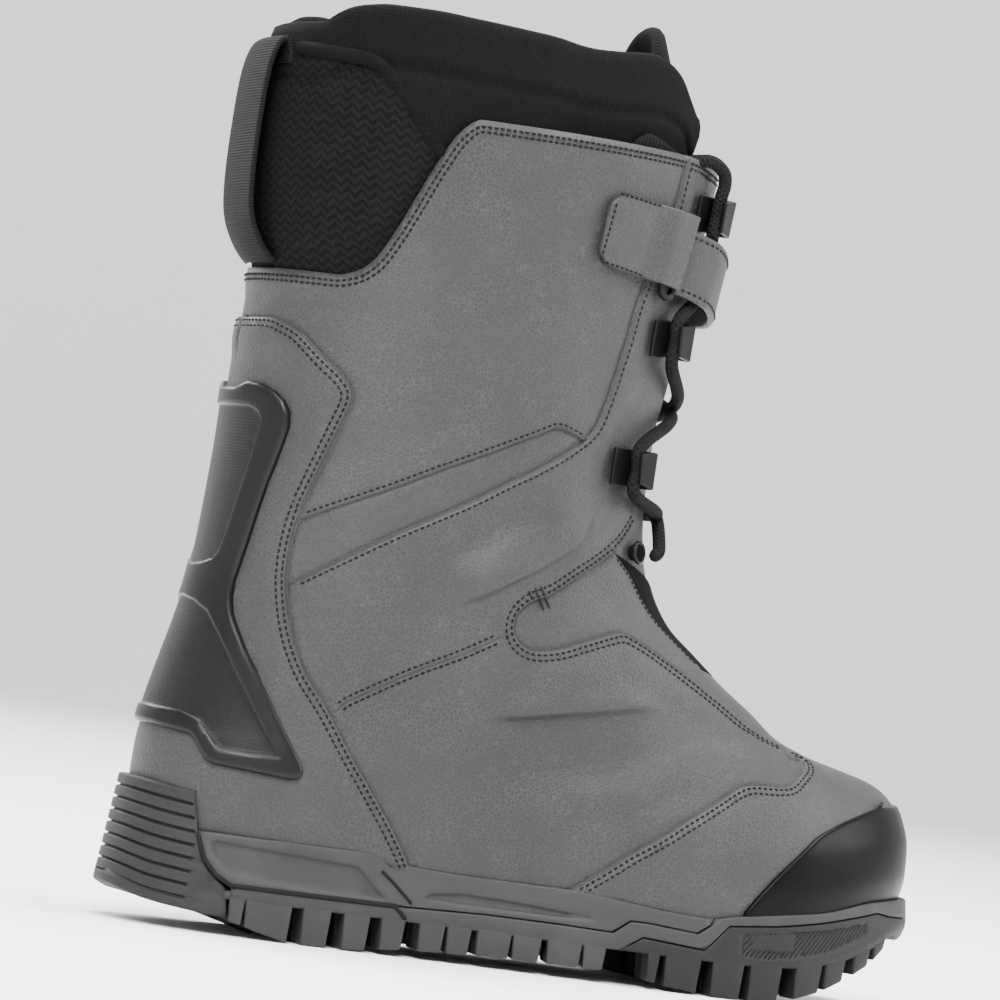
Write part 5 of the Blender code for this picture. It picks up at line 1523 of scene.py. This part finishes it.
# Sole: side walls drawn flat as (run round the edge from the toe, height), plus plates and lugs
sole = dict(
    heelTop=((0.0, 1.50), (0.062, 1.43), (0.13, 1.38), (1.0, 1.38)),
    tread=(
        (0.0, 0.361), (0.037, 0.250), (0.109, 0.178), (0.146, 0.111), (0.186, 0.0), (0.267, 0.0),
        (0.289, 0.025), (0.332, 0.072), (0.379, 0.094), (0.457, 0.122), (0.537, 0.128), (0.571, 0.133),
        (0.602, 0.103), (0.637, 0.056), (0.677, 0.022), (0.696, 0.0), (0.783, 0.0), (0.804, 0.061),
        (0.842, 0.167), (0.876, 0.306), (0.919, 0.511), (0.944, 0.694), (1.0, 0.90),
    ),
    plate=((0.0, 1.05), (0.72, 1.0), (0.80, 1.08), (0.86, 1.35), (0.92, 1.90), (0.96, 2.35), (1.0, 2.50)),
    plateHeight=0.3611 * 36 * mm, flare=4.4 * mm, lean=1.4 * mm, ribs=9, ribDepth=1.5 * mm,
    lugs=(
        (0.1258, 0.1405), (0.145, 0.196), (0.213, 0.243), (0.262, 0.290), (0.307, 0.332), (0.352,
            0.379), (0.385, 0.410),
        (0.420, 0.4565), (0.4615, 0.491), (0.501, 0.5375), (0.5425, 0.565),
    ),
    frontLugs=(
        (0.617, 0.628), (0.638, 0.678), (0.696, 0.733), (0.745, 0.783), (0.806, 0.840), (0.849, 0.875),
        (0.892, 0.914), (0.924, 0.940),
    ),
    heelEdge=((0.0690, 1.42), (0.0700, 1.33), (0.0765, 1.09), (0.0785, 1.00), (0.0880, 0.737),
        (0.1015, 0.597), (0.1195, 0.480), (0.1225, 0.20)),
    grooveUnder=((0.0800, 0.97), (0.0905, 0.745), (0.1045, 0.605), (0.1235, 0.515), (0.200, 0.512),
        (0.318, 0.512), (0.336, 0.370)),
    grooveEnd=((0.299, 0.845), (0.313, 0.75), (0.341, 0.530)),
    midsole=(
        (0.0792, 1.00), (0.0902, 0.745), (0.1042, 0.605), (0.1232, 0.520), (0.330, 0.520), (0.425, 0.548),
        (0.515, 0.550), (0.570, 0.540), (0.590, 0.678), (0.612, 0.680), (0.670, 0.640), (0.686, 0.740),
    ),
    outsoleTop=(
        (0.1240, 0.510), (0.330, 0.510), (0.425, 0.538), (0.515, 0.540), (0.572, 0.530), (0.591, 0.668),
        (0.611, 0.670), (0.672, 0.630), (0.688, 0.734),
    ),
    outsoleLow=(
        (0.985, 0.80), (0.975, 1.02), (0.944, 1.03), (0.922, 1.056), (0.835, 0.895), (0.773, 0.810),
        (0.710, 0.755), (0.682, 0.480), (0.607, 0.530), (0.581, 0.370),
    ),
    panel=(
        (0.092, 0.964), (0.271, 0.878), (0.299, 0.636), (0.313, 0.560), (0.273, 0.548), (0.217, 0.548),
        (0.163, 0.575), (0.120, 0.640), (0.098, 0.800),
    ),
    lens=(
        (0.346, 0.620), (0.360, 0.697), (0.396, 0.736), (0.451, 0.722), (0.505, 0.697), (0.542, 0.675),
        (0.560, 0.640), (0.505, 0.610), (0.396, 0.600),
    ),
    toeRecess=(
        (0.728, 0.700), (0.770, 0.745), (0.840, 0.835), (0.905, 0.955), (0.905, 0.800), (0.840, 0.560),
        (0.770, 0.440), (0.728, 0.440),
    ),
    toeBox=((0.742, 0.55), (0.742, 0.675), (0.795, 0.735), (0.795, 0.575)),
)


def edgeRing(count=1600):  # the plan's edge from the toe round the outer side, its run and outward normals
    place = (1 - np.cos(np.linspace(0, np.pi, count // 2 + 1))) / 2
    sides_ = []
    for hand in (-1, 1):
        x = place * form["length"]
        y = hand * planHalf(place, hand) * form["ball"] / 2 + planCentre(place)
        sides_.append(np.stack((x, y), -1))
    ring = np.concatenate((sides_[0][::-1], sides_[1][1:-1]))
    run = np.concatenate(([0], np.cumsum(np.linalg.norm(np.diff(ring, axis=0), axis=1))))
    along = np.roll(ring, -1, 0) - np.roll(ring, 1, 0)
    normal = np.stack((along[:, 1], -along[:, 0]), -1)
    normal /= np.linalg.norm(normal, axis=1, keepdims=True)
    if normal[len(sides_[0]) // 2, 1] > 0:
        normal = -normal
    total = run[-1] + np.linalg.norm(ring[-1] - ring[0])
    heelRun = run[len(sides_[0]) - 1]
    return ring, run, normal, total, heelRun


ringPoints, ringRun, ringNormal, ringTotal, heelRun = edgeRing()


def edgeAt(u):  # u grows from the toe round the outer side, then the heel and the inner side
    u = np.mod(u, ringTotal)
    runs = np.append(ringRun, ringTotal)
    pick = lambda a: np.interp(u, runs, np.append(a, a[:1]))
    point = np.stack((pick(ringPoints[:, 0]), pick(ringPoints[:, 1])), -1)
    normal = np.stack((pick(ringNormal[:, 0]), pick(ringNormal[:, 1])), -1)
    return point, normal / np.linalg.norm(normal, axis=1, keepdims=True)


def runOf(share, hand):  # the run at a place along the shoe, outer (-1) or inner (1) side
    half = len(ringPoints) // 2 + 1
    x = np.clip(np.asarray(share, float), 0.0002, 0.9998) * form["length"]
    if hand < 0:
        return np.interp(x, ringPoints[:half, 0][::-1], ringRun[:half][::-1])
    return np.interp(x, np.append(ringPoints[half - 1:, 0], ringPoints[0, 0]),
        np.append(ringRun[half - 1:], ringTotal))


soleTop = form["soleTop"]
lineOf = lambda key, x: read(sole[key], x / form["length"]) * soleTop
plateLine = lambda x: read(sole["plate"], x / form["length"]) * sole["plateHeight"]


def wallPoints(flat, out=0.0, heel=False):
    point, normal = edgeAt(flat[:, 0])
    x, z = point[:, 0], flat[:, 1]
    if heel:
        low = lineOf("tread", x)
        inset_ = sole["flare"] * (z - low) / (lineOf("heelTop", x) - low)
    else:
        lean = sole["lean"] + (sole["flare"] - sole["lean"]) * (1 - ease(x / form["length"], 0, 0.12))
        edge = plateLine(x) + 2 * mm
        inset_ = lean * (z - edge) / np.maximum(seatLine(x) - edge, 4 * mm)
        inset_ = np.where(z < edge, 0.6 * mm * (edge - z) / (2 * mm), inset_)
    flatPoint = point + normal * (np.asarray(out) - inset_)[:, None]
    return np.column_stack((flatPoint, z)) + np.array(form["origin"])


def flatFar(line, points, closed=True):
    ends = np.concatenate((line, line[:1])) if closed else line
    best = np.full(len(points), 1e9)
    for a, b in zip(ends, ends[1:]):
        span = b - a
        t = np.clip(((points - a) @ span) / max(span @ span, 1e-15), 0, 1)
        best = np.minimum(best, np.linalg.norm(points - a - t[:, None] * span, axis=1))
    return best


def evenly(points, spacing, closed=True):
    ends = np.concatenate((points, points[:1])) if closed else points
    made = []
    for a, b in zip(ends, ends[1:]):
        steps = max(int(round(np.linalg.norm(b - a) / spacing)), 1)
        made.append(a + (b - a) * np.linspace(0, 1, steps, endpoint=False)[:, None])
    return np.concatenate(made)


def shrunk(outline, distance):  # a closed flat outline moved inwards
    along = np.roll(outline, -1, 0) - np.roll(outline, 1, 0)
    normal = np.stack((-along[:, 1], along[:, 0]), -1)
    normal /= np.linalg.norm(normal, axis=1, keepdims=True) + 1e-12
    for hand in (1, -1):
        moved = outline + normal * distance * hand
        if inside(outline, moved).mean() > 0.5:
            keep = flatFar(outline, moved) > distance * 0.9
            return moved[keep]
    return outline


def sideOutline(table, hand, spacing=2.5 * mm, top=None, closed=True):
    points = np.array([(float(runOf(x, hand)), z * soleTop) for x, z in table])
    return evenly(points, spacing, closed)


def wallMesh(outline, edge, relief_=None, loops=(), heel=False, spacing=2.2 * mm, deep=5 * mm, away=0.0):
    rings_ = [shrunk(outline, edge * s) for s in (0.15, 0.45, 1.0)]
    rings_ = [r for r in rings_ if len(r) > 8]
    flat, faces = sheet(outline, spacing, loops=rings_ + list(loops), flatScale=np.array((1.0, 1.0)))
    far = flatFar(outline, flat)
    roll = np.sqrt(1 - (1 - np.clip(far / edge, 0, 1)) ** 2)
    out = -edge * 0.85 * (1 - roll) + away
    if relief_:
        out = out + relief_(flat)
    points = wallPoints(flat, out, heel)
    rim = [i for i in range(len(flat)) if far[i] < 0.01 * mm]
    order = sorted(rim, key=lambda i: alongOutline(outline, flat[i]))
    back = wallPoints(flat[order], np.full(len(order), -deep), heel)
    first = len(points)
    faces = [tuple(f) for f in faces]
    for k in range(len(order)):
        n = (k + 1) % len(order)
        faces.append((order[k], order[n], first + n, first + k))
    return np.concatenate((points, back)), faces


def alongOutline(outline, p):
    span = np.roll(outline, -1, 0) - outline
    t = np.clip(((p - outline) * span).sum(1) / np.maximum((span * span).sum(1), 1e-15), 0, 1)
    distance = np.linalg.norm(p - outline - span * t[:, None], axis=1)
    k = int(np.argmin(distance))
    return k + t[k]


def joined(*parts_):
    points, faces = [], []
    for p, f in parts_:
        first = sum(len(q) for q in points)
        points.append(np.asarray(p))
        faces += [tuple(i + first for i in face) for face in f]
    return np.concatenate(points), faces


def plateMesh(start, end, lower, thick=3 * mm, count=70, columns=14, inset_=0.7 * mm):
    rows = []
    for height in (0, thick):
        for place in np.linspace(start, end, count):
            x = place * form["length"]
            row = []
            for s in np.linspace(-1, 1, columns):
                hand = -1 if s < 0 else 1
                half = float(planHalf(place, hand)) * form["ball"] / 2 - inset_
                row.append((x, s * max(half, 0) + float(planCentre(place)), float(lower(x)) + height))
            rows.append(row)
    points = np.array(rows).reshape(-1, 3) + np.array(form["origin"])
    n, m = count, columns
    faces = gridFaces(n, m, flip=True) + gridFaces(n, m, first=n * m)
    for i in range(n - 1):
        for k in (0, m - 1):
            faces.append((i * m + k, (i + 1) * m + k, (n + i + 1) * m + k, (n + i) * m + k))
    for i in range(m - 1):
        for r in (0, n - 1):
            faces.append((r * m + i, r * m + i + 1, (n + r) * m + i + 1, (n + r) * m + i))
    return points, faces


def edgeSpot(place, hand, inset_):
    h = 0.002
    at = lambda p: np.array((p * form["length"],
        float(hand * planHalf(p, hand) * form["ball"] / 2 + planCentre(p))))
    along = at(place + h) - at(place - h)
    along /= np.linalg.norm(along)
    inward = np.array((hand * along[1], -hand * along[0]))
    return at(place) + inward * inset_


def lugMesh(table):
    bm = bmesh.new()
    sunk = lambda place: float(plateLine(place * form["length"])) + 1.2 * mm
    z = lambda place, top: sunk(place) if top else float(lineOf("tread", place * form["length"]))
    boxes = []
    for start, end in table:
        for hand in (-1, 1):
            for inner, outer in (((11.5 * mm), 21 * mm), (0.25 * mm, 10.3 * mm)):
                corners = []
                for top in (0, 1):
                    grow = 0.7 * mm * top / form["length"]
                    for depth in (inner + 0.35 * mm * (1 - top), outer + 0.5 * mm * top):
                        for place in (start - grow, end + grow):
                            corners.append((*edgeSpot(place, hand, depth), z(place, top)))
                boxes.append(corners)
        middle, half = (start + end) / 2, 4.5 * mm / form["length"]
        if end < 0.86:
            corners = []
            for top in (0, 1):
                for s in (-1, 1):
                    y = float(planCentre(middle)) + s * (11 * mm + 0.5 * mm * (top - 1))
                    for place in (middle - half, middle + half):
                        corners.append((place * form["length"], y, z(place, top)))
            boxes.append(corners)
    for corners in boxes:
        verts = [bm.verts.new(np.array(c) + np.array(form["origin"])) for c in corners]
        for quad in ((0, 2, 3, 1), (4, 5, 7, 6), (0, 1, 5, 4), (2, 6, 7, 3), (0, 4, 6, 2), (1, 3, 7, 5)):
            bm.faces.new([verts[k] for k in quad])
    bmesh.ops.recalc_face_normals(bm, faces=bm.faces)
    bmesh.ops.bevel(bm, geom=bm.edges[:], offset=0.8 * mm, segments=3, profile=0.5, affect="EDGES",
        clamp_overlap=True)
    bm.verts.ensure_lookup_table()
    points = np.array([tuple(v.co) for v in bm.verts])
    faces = [tuple(v.index for v in f.verts) for f in bm.faces]
    bm.free()
    return points, faces


def mouldFinish(name, colour, rough, grain=0.06 * mm):
    f = Finish(name, Specular_IOR_Level=0.2)
    at = f.where()
    cloud = f.ramp(f.noise(at, 55, 4, 0.6), (0.35, 0.0), (0.7, 1.0))
    tone = f.mix(cloud, tuple(c * 0.88 for c in colour), tuple(c * 1.12 for c in colour))
    scuff = f.ramp(f.noise(at, 500, 3, 0.7), (0.60, 0.0), (0.75, 1.0))
    tone = f.mix(scuff * 0.25, tone, tuple(c * 1.5 for c in colour))
    normal = f.bump(f.noise(at, 1300, 3) + f.noise(at, 420, 2) * 0.5, grain)
    return f.done(Base_Color=tone, Roughness=f.noise(at, 200, 3) * 0.14 + (rough - 0.07), Normal=normal)


def buildSole():
    # heel ribs
    heelEdge = sole["heelEdge"]
    top = [(x, float(read(sole["heelTop"], x)) - 0.02) for x in (0.05, 0.03, 0.014, 0.005, 0.001, 0.0)]
    low = [(x, float(read(sole["tread"], x)) + 0.004) for x in (0.0, 0.001, 0.005, 0.014, 0.03, 0.05, 0.08,
        0.105)]
    outer = [(float(runOf(x, -1)), z * soleTop) for x, z in list(heelEdge)[::-1] + top]
    inner = [(float(runOf(x, 1)), z * soleTop) for x, z in top[::-1] + list(heelEdge)]
    bottom = [(float(runOf(x, 1)), z * soleTop) for x, z in low[::-1]]
    bottom += [(float(runOf(x, -1)), z * soleTop) for x, z in low]
    outline = evenly(np.array(outer + inner + bottom), 2 * mm)

    def share(flat):
        x = edgeAt(flat[:, 0])[0][:, 0]
        lowLine = lineOf("tread", x)
        return (flat[:, 1] - lowLine) / (lineOf("heelTop", x) - lowLine)

    def ribs(flat):
        t = share(flat) * sole["ribs"] + 0.12
        wave = t % 1.0
        groove = 1 - ease(np.abs(wave - 0.5), 0.34, 0.47)
        x = edgeAt(flat[:, 0])[0][:, 0] / form["length"]
        edgeOf = np.interp(flat[:, 1] / soleTop, [z for _x, z in sole["heelEdge"]][::-1],
            [x_ for x_, _z in sole["heelEdge"]][::-1])
        fade = 1 - ease((x - edgeOf) * form["length"], -1.4 * mm, -0.6 * mm)
        return -sole["ribDepth"] * (1 - groove) * fade

    lines = []
    for k in range(sole["ribs"] + 1):
        for d in (0.0, 0.03, 0.09, 0.16, 0.22, 0.36, 0.5):
            for side_ in (-1, 1):
                t = (k - 0.12 + side_ * d) / sole["ribs"]
                if 0.03 < t < 0.97 and not (d in (0.0, 0.5) and side_ < 0):
                    us = np.linspace(float(runOf(0.074, -1)), float(runOf(0.074, 1)), 70)
                    x = edgeAt(us)[0][:, 0]
                    lowLine = lineOf("tread", x)
                    line = np.stack((us, lowLine + t * (lineOf("heelTop", x) - lowLine)), -1)
                    lines.append(line[inside(outline, line)])
    flatRings = [shrunk(outline, 1.0 * mm * s) for s in (0.2, 0.5, 1.0)]
    flat, faces = sheet(outline, 2.4 * mm, loops=flatRings, lines=[l for l in lines if len(l) > 2],
        flatScale=np.array((1.0, 1.0)))
    far = flatFar(outline, flat)
    roll = np.sqrt(1 - (1 - np.clip(far / (1.0 * mm), 0, 1)) ** 2)
    points = wallPoints(flat, ribs(flat) * ease(far, 0, 1.2 * mm) - 0.9 * mm * (1 - roll), True)
    rim = [i for i in range(len(flat)) if far[i] < 0.01 * mm]
    order = sorted(rim, key=lambda i: alongOutline(outline, flat[i]))
    back = wallPoints(flat[order], np.full(len(order), -7 * mm), True)
    first = len(points)
    faces = [tuple(f) for f in faces] + [
        (order[k], order[(k + 1) % len(order)], first + (k + 1) % len(order),
            first + k) for k in range(len(order))]
    wall_ = (np.concatenate((points, back)), faces)
    heelPlate_ = plateMesh(0.004, 0.123, lambda x: lineOf("tread", x) + 0.5 * mm, 5 * mm, 30, 12, 1.6 * mm)
    addPiece("heelRibs", welded(meshFrom("heelRibs", *joined(wall_, heelPlate_))),
        mouldFinish("ribRubber", (0.0125, 0.0121, 0.0119), 0.62), "heel_wrap", slot="sole_rubber")
    print("heel ribs", len(faces))

    # midsole panels
    def carve(table, hand, depth, wide):
        shape = sideOutline(table, hand)
        loops_ = [shape] + [s for s in (shrunk(shape, wide * k) for k in (0.5, 1.0)) if len(s) > 8]
        return loops_, lambda flat: -depth * ease(np.where(inside(shape, flat), flatFar(shape, flat), 0), 0,
            wide)

    parts_ = []
    for hand in (-1, 1):
        places = np.linspace(0.689, 0.0795, 60)
        rim = [(x, float(seatLine(x * form["length"])) / soleTop - 0.006) for x in places]
        shape = sideOutline(sole["midsole"] + tuple(rim), hand)
        panelLoops, panel = carve(sole["panel"], hand, 1.7 * mm, 1.5 * mm)
        lensLoops, lens = carve(sole["lens"], hand, 1.5 * mm, 1.2 * mm)
        parts_.append(wallMesh(shape, 0.8 * mm, lambda flat: panel(flat) + lens(flat),
            panelLoops + lensLoops))
    addPiece("midsolePanels", welded(meshFrom("midsolePanels", *joined(*parts_))),
        mouldFinish("panelRubber", (0.0225, 0.0221, 0.0223), 0.55), "midsole", slot="midsole_panel")

    # near-black tubes laid along the grooves round the rear panel: painted shade in the grooves
    dark = mouldFinish("paintedGrooveShade", (0.0012, 0.0012, 0.0012), 0.8)
    for name, path, radius in (("under", sole["grooveUnder"], 0.85 * mm),
        ("end", sole["grooveEnd"], 0.6 * mm)):
        for hand, side_ in ((-1, "Outer"), (1, "Inner")):
            line = evenly(np.array([(float(runOf(x, hand)), z * soleTop) for x, z in path]), 2 * mm, False)
            # each tube sits just outside the wall as a painted shadow line, not a cut groove
            piece = tubeMesh("groove", wallPoints(line, np.full(len(line), 0.05 * mm)), radius, 10)
            addPiece(name + "Groove" + side_, piece, dark, slot="midsole_panel")

    # outsole frame with its rear lugs
    def frameOutline():
        places = np.linspace(0.692, 0.9985, 44)
        rim = [(x, float(seatLine(x * form["length"])) / soleTop - 0.006) for x in places]
        low_ = [(x, float(plateLine(x * form["length"])) / soleTop) for x in np.linspace(0.580, 0.1245, 40)]
        upperLine = list(sole["outsoleTop"]) + rim
        lowerLine = [(0.9985, 0.80)] + list(sole["outsoleLow"]) + low_
        half = lambda hand: [(float(runOf(x, hand)), z * soleTop) for x, z in upperLine]
        lower_ = lambda hand: [(float(runOf(x, hand)), z * soleTop) for x, z in lowerLine]
        outerTop = half(-1)
        innerTop = [(u - ringTotal, z) for u, z in half(1)]
        outerLow = lower_(-1)
        innerLow = [(u - ringTotal, z) for u, z in lower_(1)]
        line = outerTop + innerTop[::-1] + innerLow[::-1] + outerLow
        return evenly(np.array(line), 2.5 * mm)

    frameShape = frameOutline()
    frameWall = wallMesh(frameShape, 0.7 * mm, away=0.12 * mm)
    rearPlate = plateMesh(0.118, 0.585, plateLine)
    rearLugs = lugMesh(sole["lugs"])
    addPiece("outsoleFrame", welded(meshFrom("outsoleFrame", *joined(frameWall, rearPlate, rearLugs))),
        mouldFinish("frameRubber", (0.0205, 0.0201, 0.0205), 0.6), "outsole", slot="sole_frame")

    # dark forefoot tread
    def treadOutline():
        top_ = [(x, z - 0.012) for x, z in sole["outsoleLow"][::-1]] + [(0.9985, 0.785)]
        low_ = [(x, float(plateLine(x * form["length"])) / soleTop) for x in np.linspace(0.584, 0.955, 40)]
        half = lambda hand: [(float(runOf(x, hand)), z * soleTop) for x, z in [(0.584, 0.37)] + top_[1:]]
        lower_ = lambda hand: [(float(runOf(x, hand)), z * soleTop) for x, z in low_[::-1]]
        inner_ = [(u - ringTotal, z) for u, z in half(1)]
        innerLow = [(u - ringTotal, z) for u, z in lower_(1)]
        toe_ = [(float(runOf(0.972, -1)), 0.77 * soleTop)]
        toe2 = [(float(runOf(0.972, 1)) - ringTotal, 0.77 * soleTop)]
        line = half(-1)[:-1] + toe_ + lower_(-1)
        other = inner_[:-1] + toe2 + innerLow
        return evenly(np.array(line), 2.5 * mm), evenly(np.array(other), 2.5 * mm)

    walls, ribPitch = [], 2.0 * mm
    for shape, hand in zip(treadOutline(), (-1, 1)):
        recess = sideOutline(sole["toeRecess"], hand)
        box = sideOutline(sole["toeBox"], hand)
        if hand > 0:
            recess, box = recess - (ringTotal, 0), box - (ringTotal, 0)

        def pocket(flat, recess=recess, box=box, hand=hand):
            within = ease(np.where(inside(recess, flat), flatFar(recess, flat), 0), 0, 0.9 * mm)
            boxIn = ease(np.where(inside(box, flat), flatFar(box, flat), -flatFar(box, flat)), -0.9 * mm,
                -0.1 * mm)
            slant = (flat[:, 0] * -hand + flat[:, 1] * 0.8) / ribPitch
            rib = ease(np.abs(slant % 1.0 - 0.5), 0.12, 0.34)
            return -1.3 * mm * within * (1 - boxIn) + 0.95 * mm * within * (1 - boxIn) * (1 - rib)

        ribLines = []
        for k in np.arange(-100, 100):
            for d in (0.14, 0.32, 0.68, 0.86):
                z0, z1 = 0.40 * soleTop, 1.0 * soleTop
                c = (k + d) * ribPitch
                line = np.array([((c - z * 0.8) * -hand, z) for z in np.linspace(z0, z1, 14)])
                line = line[inside(recess, line)]
                if len(line) > 2:
                    ribLines.append(line)
        smaller = (shrunk(recess, 0.9 * mm), shrunk(box, 0.6 * mm))
        loops_ = [recess, box] + [s for s in smaller if len(s) > 6]
        rings_ = [r for r in (shrunk(shape, 0.7 * mm * s) for s in (0.3, 1.0)) if len(r) > 8]
        flat, faces = sheet(shape, 2.2 * mm, loops=rings_ + loops_, lines=ribLines,
            flatScale=np.array((1.0, 1.0)))
        far = flatFar(shape, flat)
        roll = np.sqrt(1 - (1 - np.clip(far / (0.7 * mm), 0, 1)) ** 2)
        points = wallPoints(flat, pocket(flat) - 0.6 * mm * (1 - roll))
        rim = [i for i in range(len(flat)) if far[i] < 0.01 * mm]
        order = sorted(rim, key=lambda i: alongOutline(shape, flat[i]))
        back = wallPoints(flat[order], np.full(len(order), -5 * mm))
        first = len(points)
        faces = [tuple(f) for f in faces] + [
            (order[k], order[(k + 1) % len(order)], first + (k + 1) % len(order),
                first + k) for k in range(len(order))]
        walls.append((np.concatenate((points, back)), faces))
    frontPlate = plateMesh(0.582, 0.975, plateLine)
    addPiece("forefootTread",
        welded(meshFrom("forefootTread", *joined(*walls, frontPlate, lugMesh(sole["frontLugs"])))),
             mouldFinish("treadRubber", (0.0062, 0.0061, 0.0061), 0.6), "forefoot_tread", slot="tread_rubber")
    print("sole done")


buildSole()
insoleCloth = knitFinish("insoleCloth", (0.03, 0.03, 0.031), (1.4 * mm, 1.4 * mm), 0.15 * mm)
for item in bpy.data.objects:
    if item.name == "insole":
        for slot_ in item.material_slots:
            slot_.material = insoleCloth


def stage():
    floorLook = Finish("paleFloor", Base_Color=(0.86, 0.86, 0.86, 1), Roughness=0.9)
    bm = bmesh.new()
    bend = np.linspace(0, math.pi / 2, 10)[1:]
    profile = [(r, 0) for r in (0, 1, 2, 3, 4)]
    profile += [(4 + 1.6 * math.sin(a), 1.6 - 1.6 * math.cos(a)) for a in bend] + [(5.6, 6.0)]
    count = 64
    rows = []
    for r, z in profile[1:]:
        rows.append([bm.verts.new((r * math.cos(2 * math.pi * i / count),
            r * math.sin(2 * math.pi * i / count), z - 0.05 * mm)) for i in range(count)])
    centre = bm.verts.new((0, 0, -0.05 * mm))
    for i in range(count):
        bm.faces.new((centre, rows[0][i], rows[0][(i + 1) % count]))
    for low, high in zip(rows, rows[1:]):
        for i in range(count):
            j = (i + 1) % count
            bm.faces.new((low[i], low[j], high[j], high[i]))
    bmesh.ops.recalc_face_normals(bm, faces=bm.faces)
    mesh = bpy.data.meshes.new("floor")
    bm.to_mesh(mesh)
    bm.free()
    mesh.shade_smooth()
    mesh.materials.append(floorLook.done())
    floor = bpy.data.objects.new("floor", mesh)
    bpy.context.scene.collection.objects.link(floor)
    world = bpy.data.worlds.new("studio")
    bpy.context.scene.world = world
    world.use_nodes = True
    world.node_tree.nodes["Background"].inputs[0].default_value = (1, 1, 1, 1)
    world.node_tree.nodes["Background"].inputs[1].default_value = 0.36
    lights = (
        ("key", (-1.0, -2.0, 2.1), 1.3, 205), ("front", (2.2, -0.9, 1.3), 1.4, 80),
        ("back", (-1.2, 2.2, 1.9), 1.6, 130), ("top", (0.2, 0.0, 2.8), 1.5, 235),
    )
    for name, place, size, power in lights:
        data = bpy.data.lights.new(name, "AREA")
        data.size = size
        data.energy = power
        lamp = bpy.data.objects.new(name, data)
        aim = Vector((0, 0, 0.17)) - Vector(place)
        lamp.matrix_world = Matrix.Translation(place) @ aim.to_track_quat("-Z", "Y").to_matrix().to_4x4()
        bpy.context.scene.collection.objects.link(lamp)


stage()
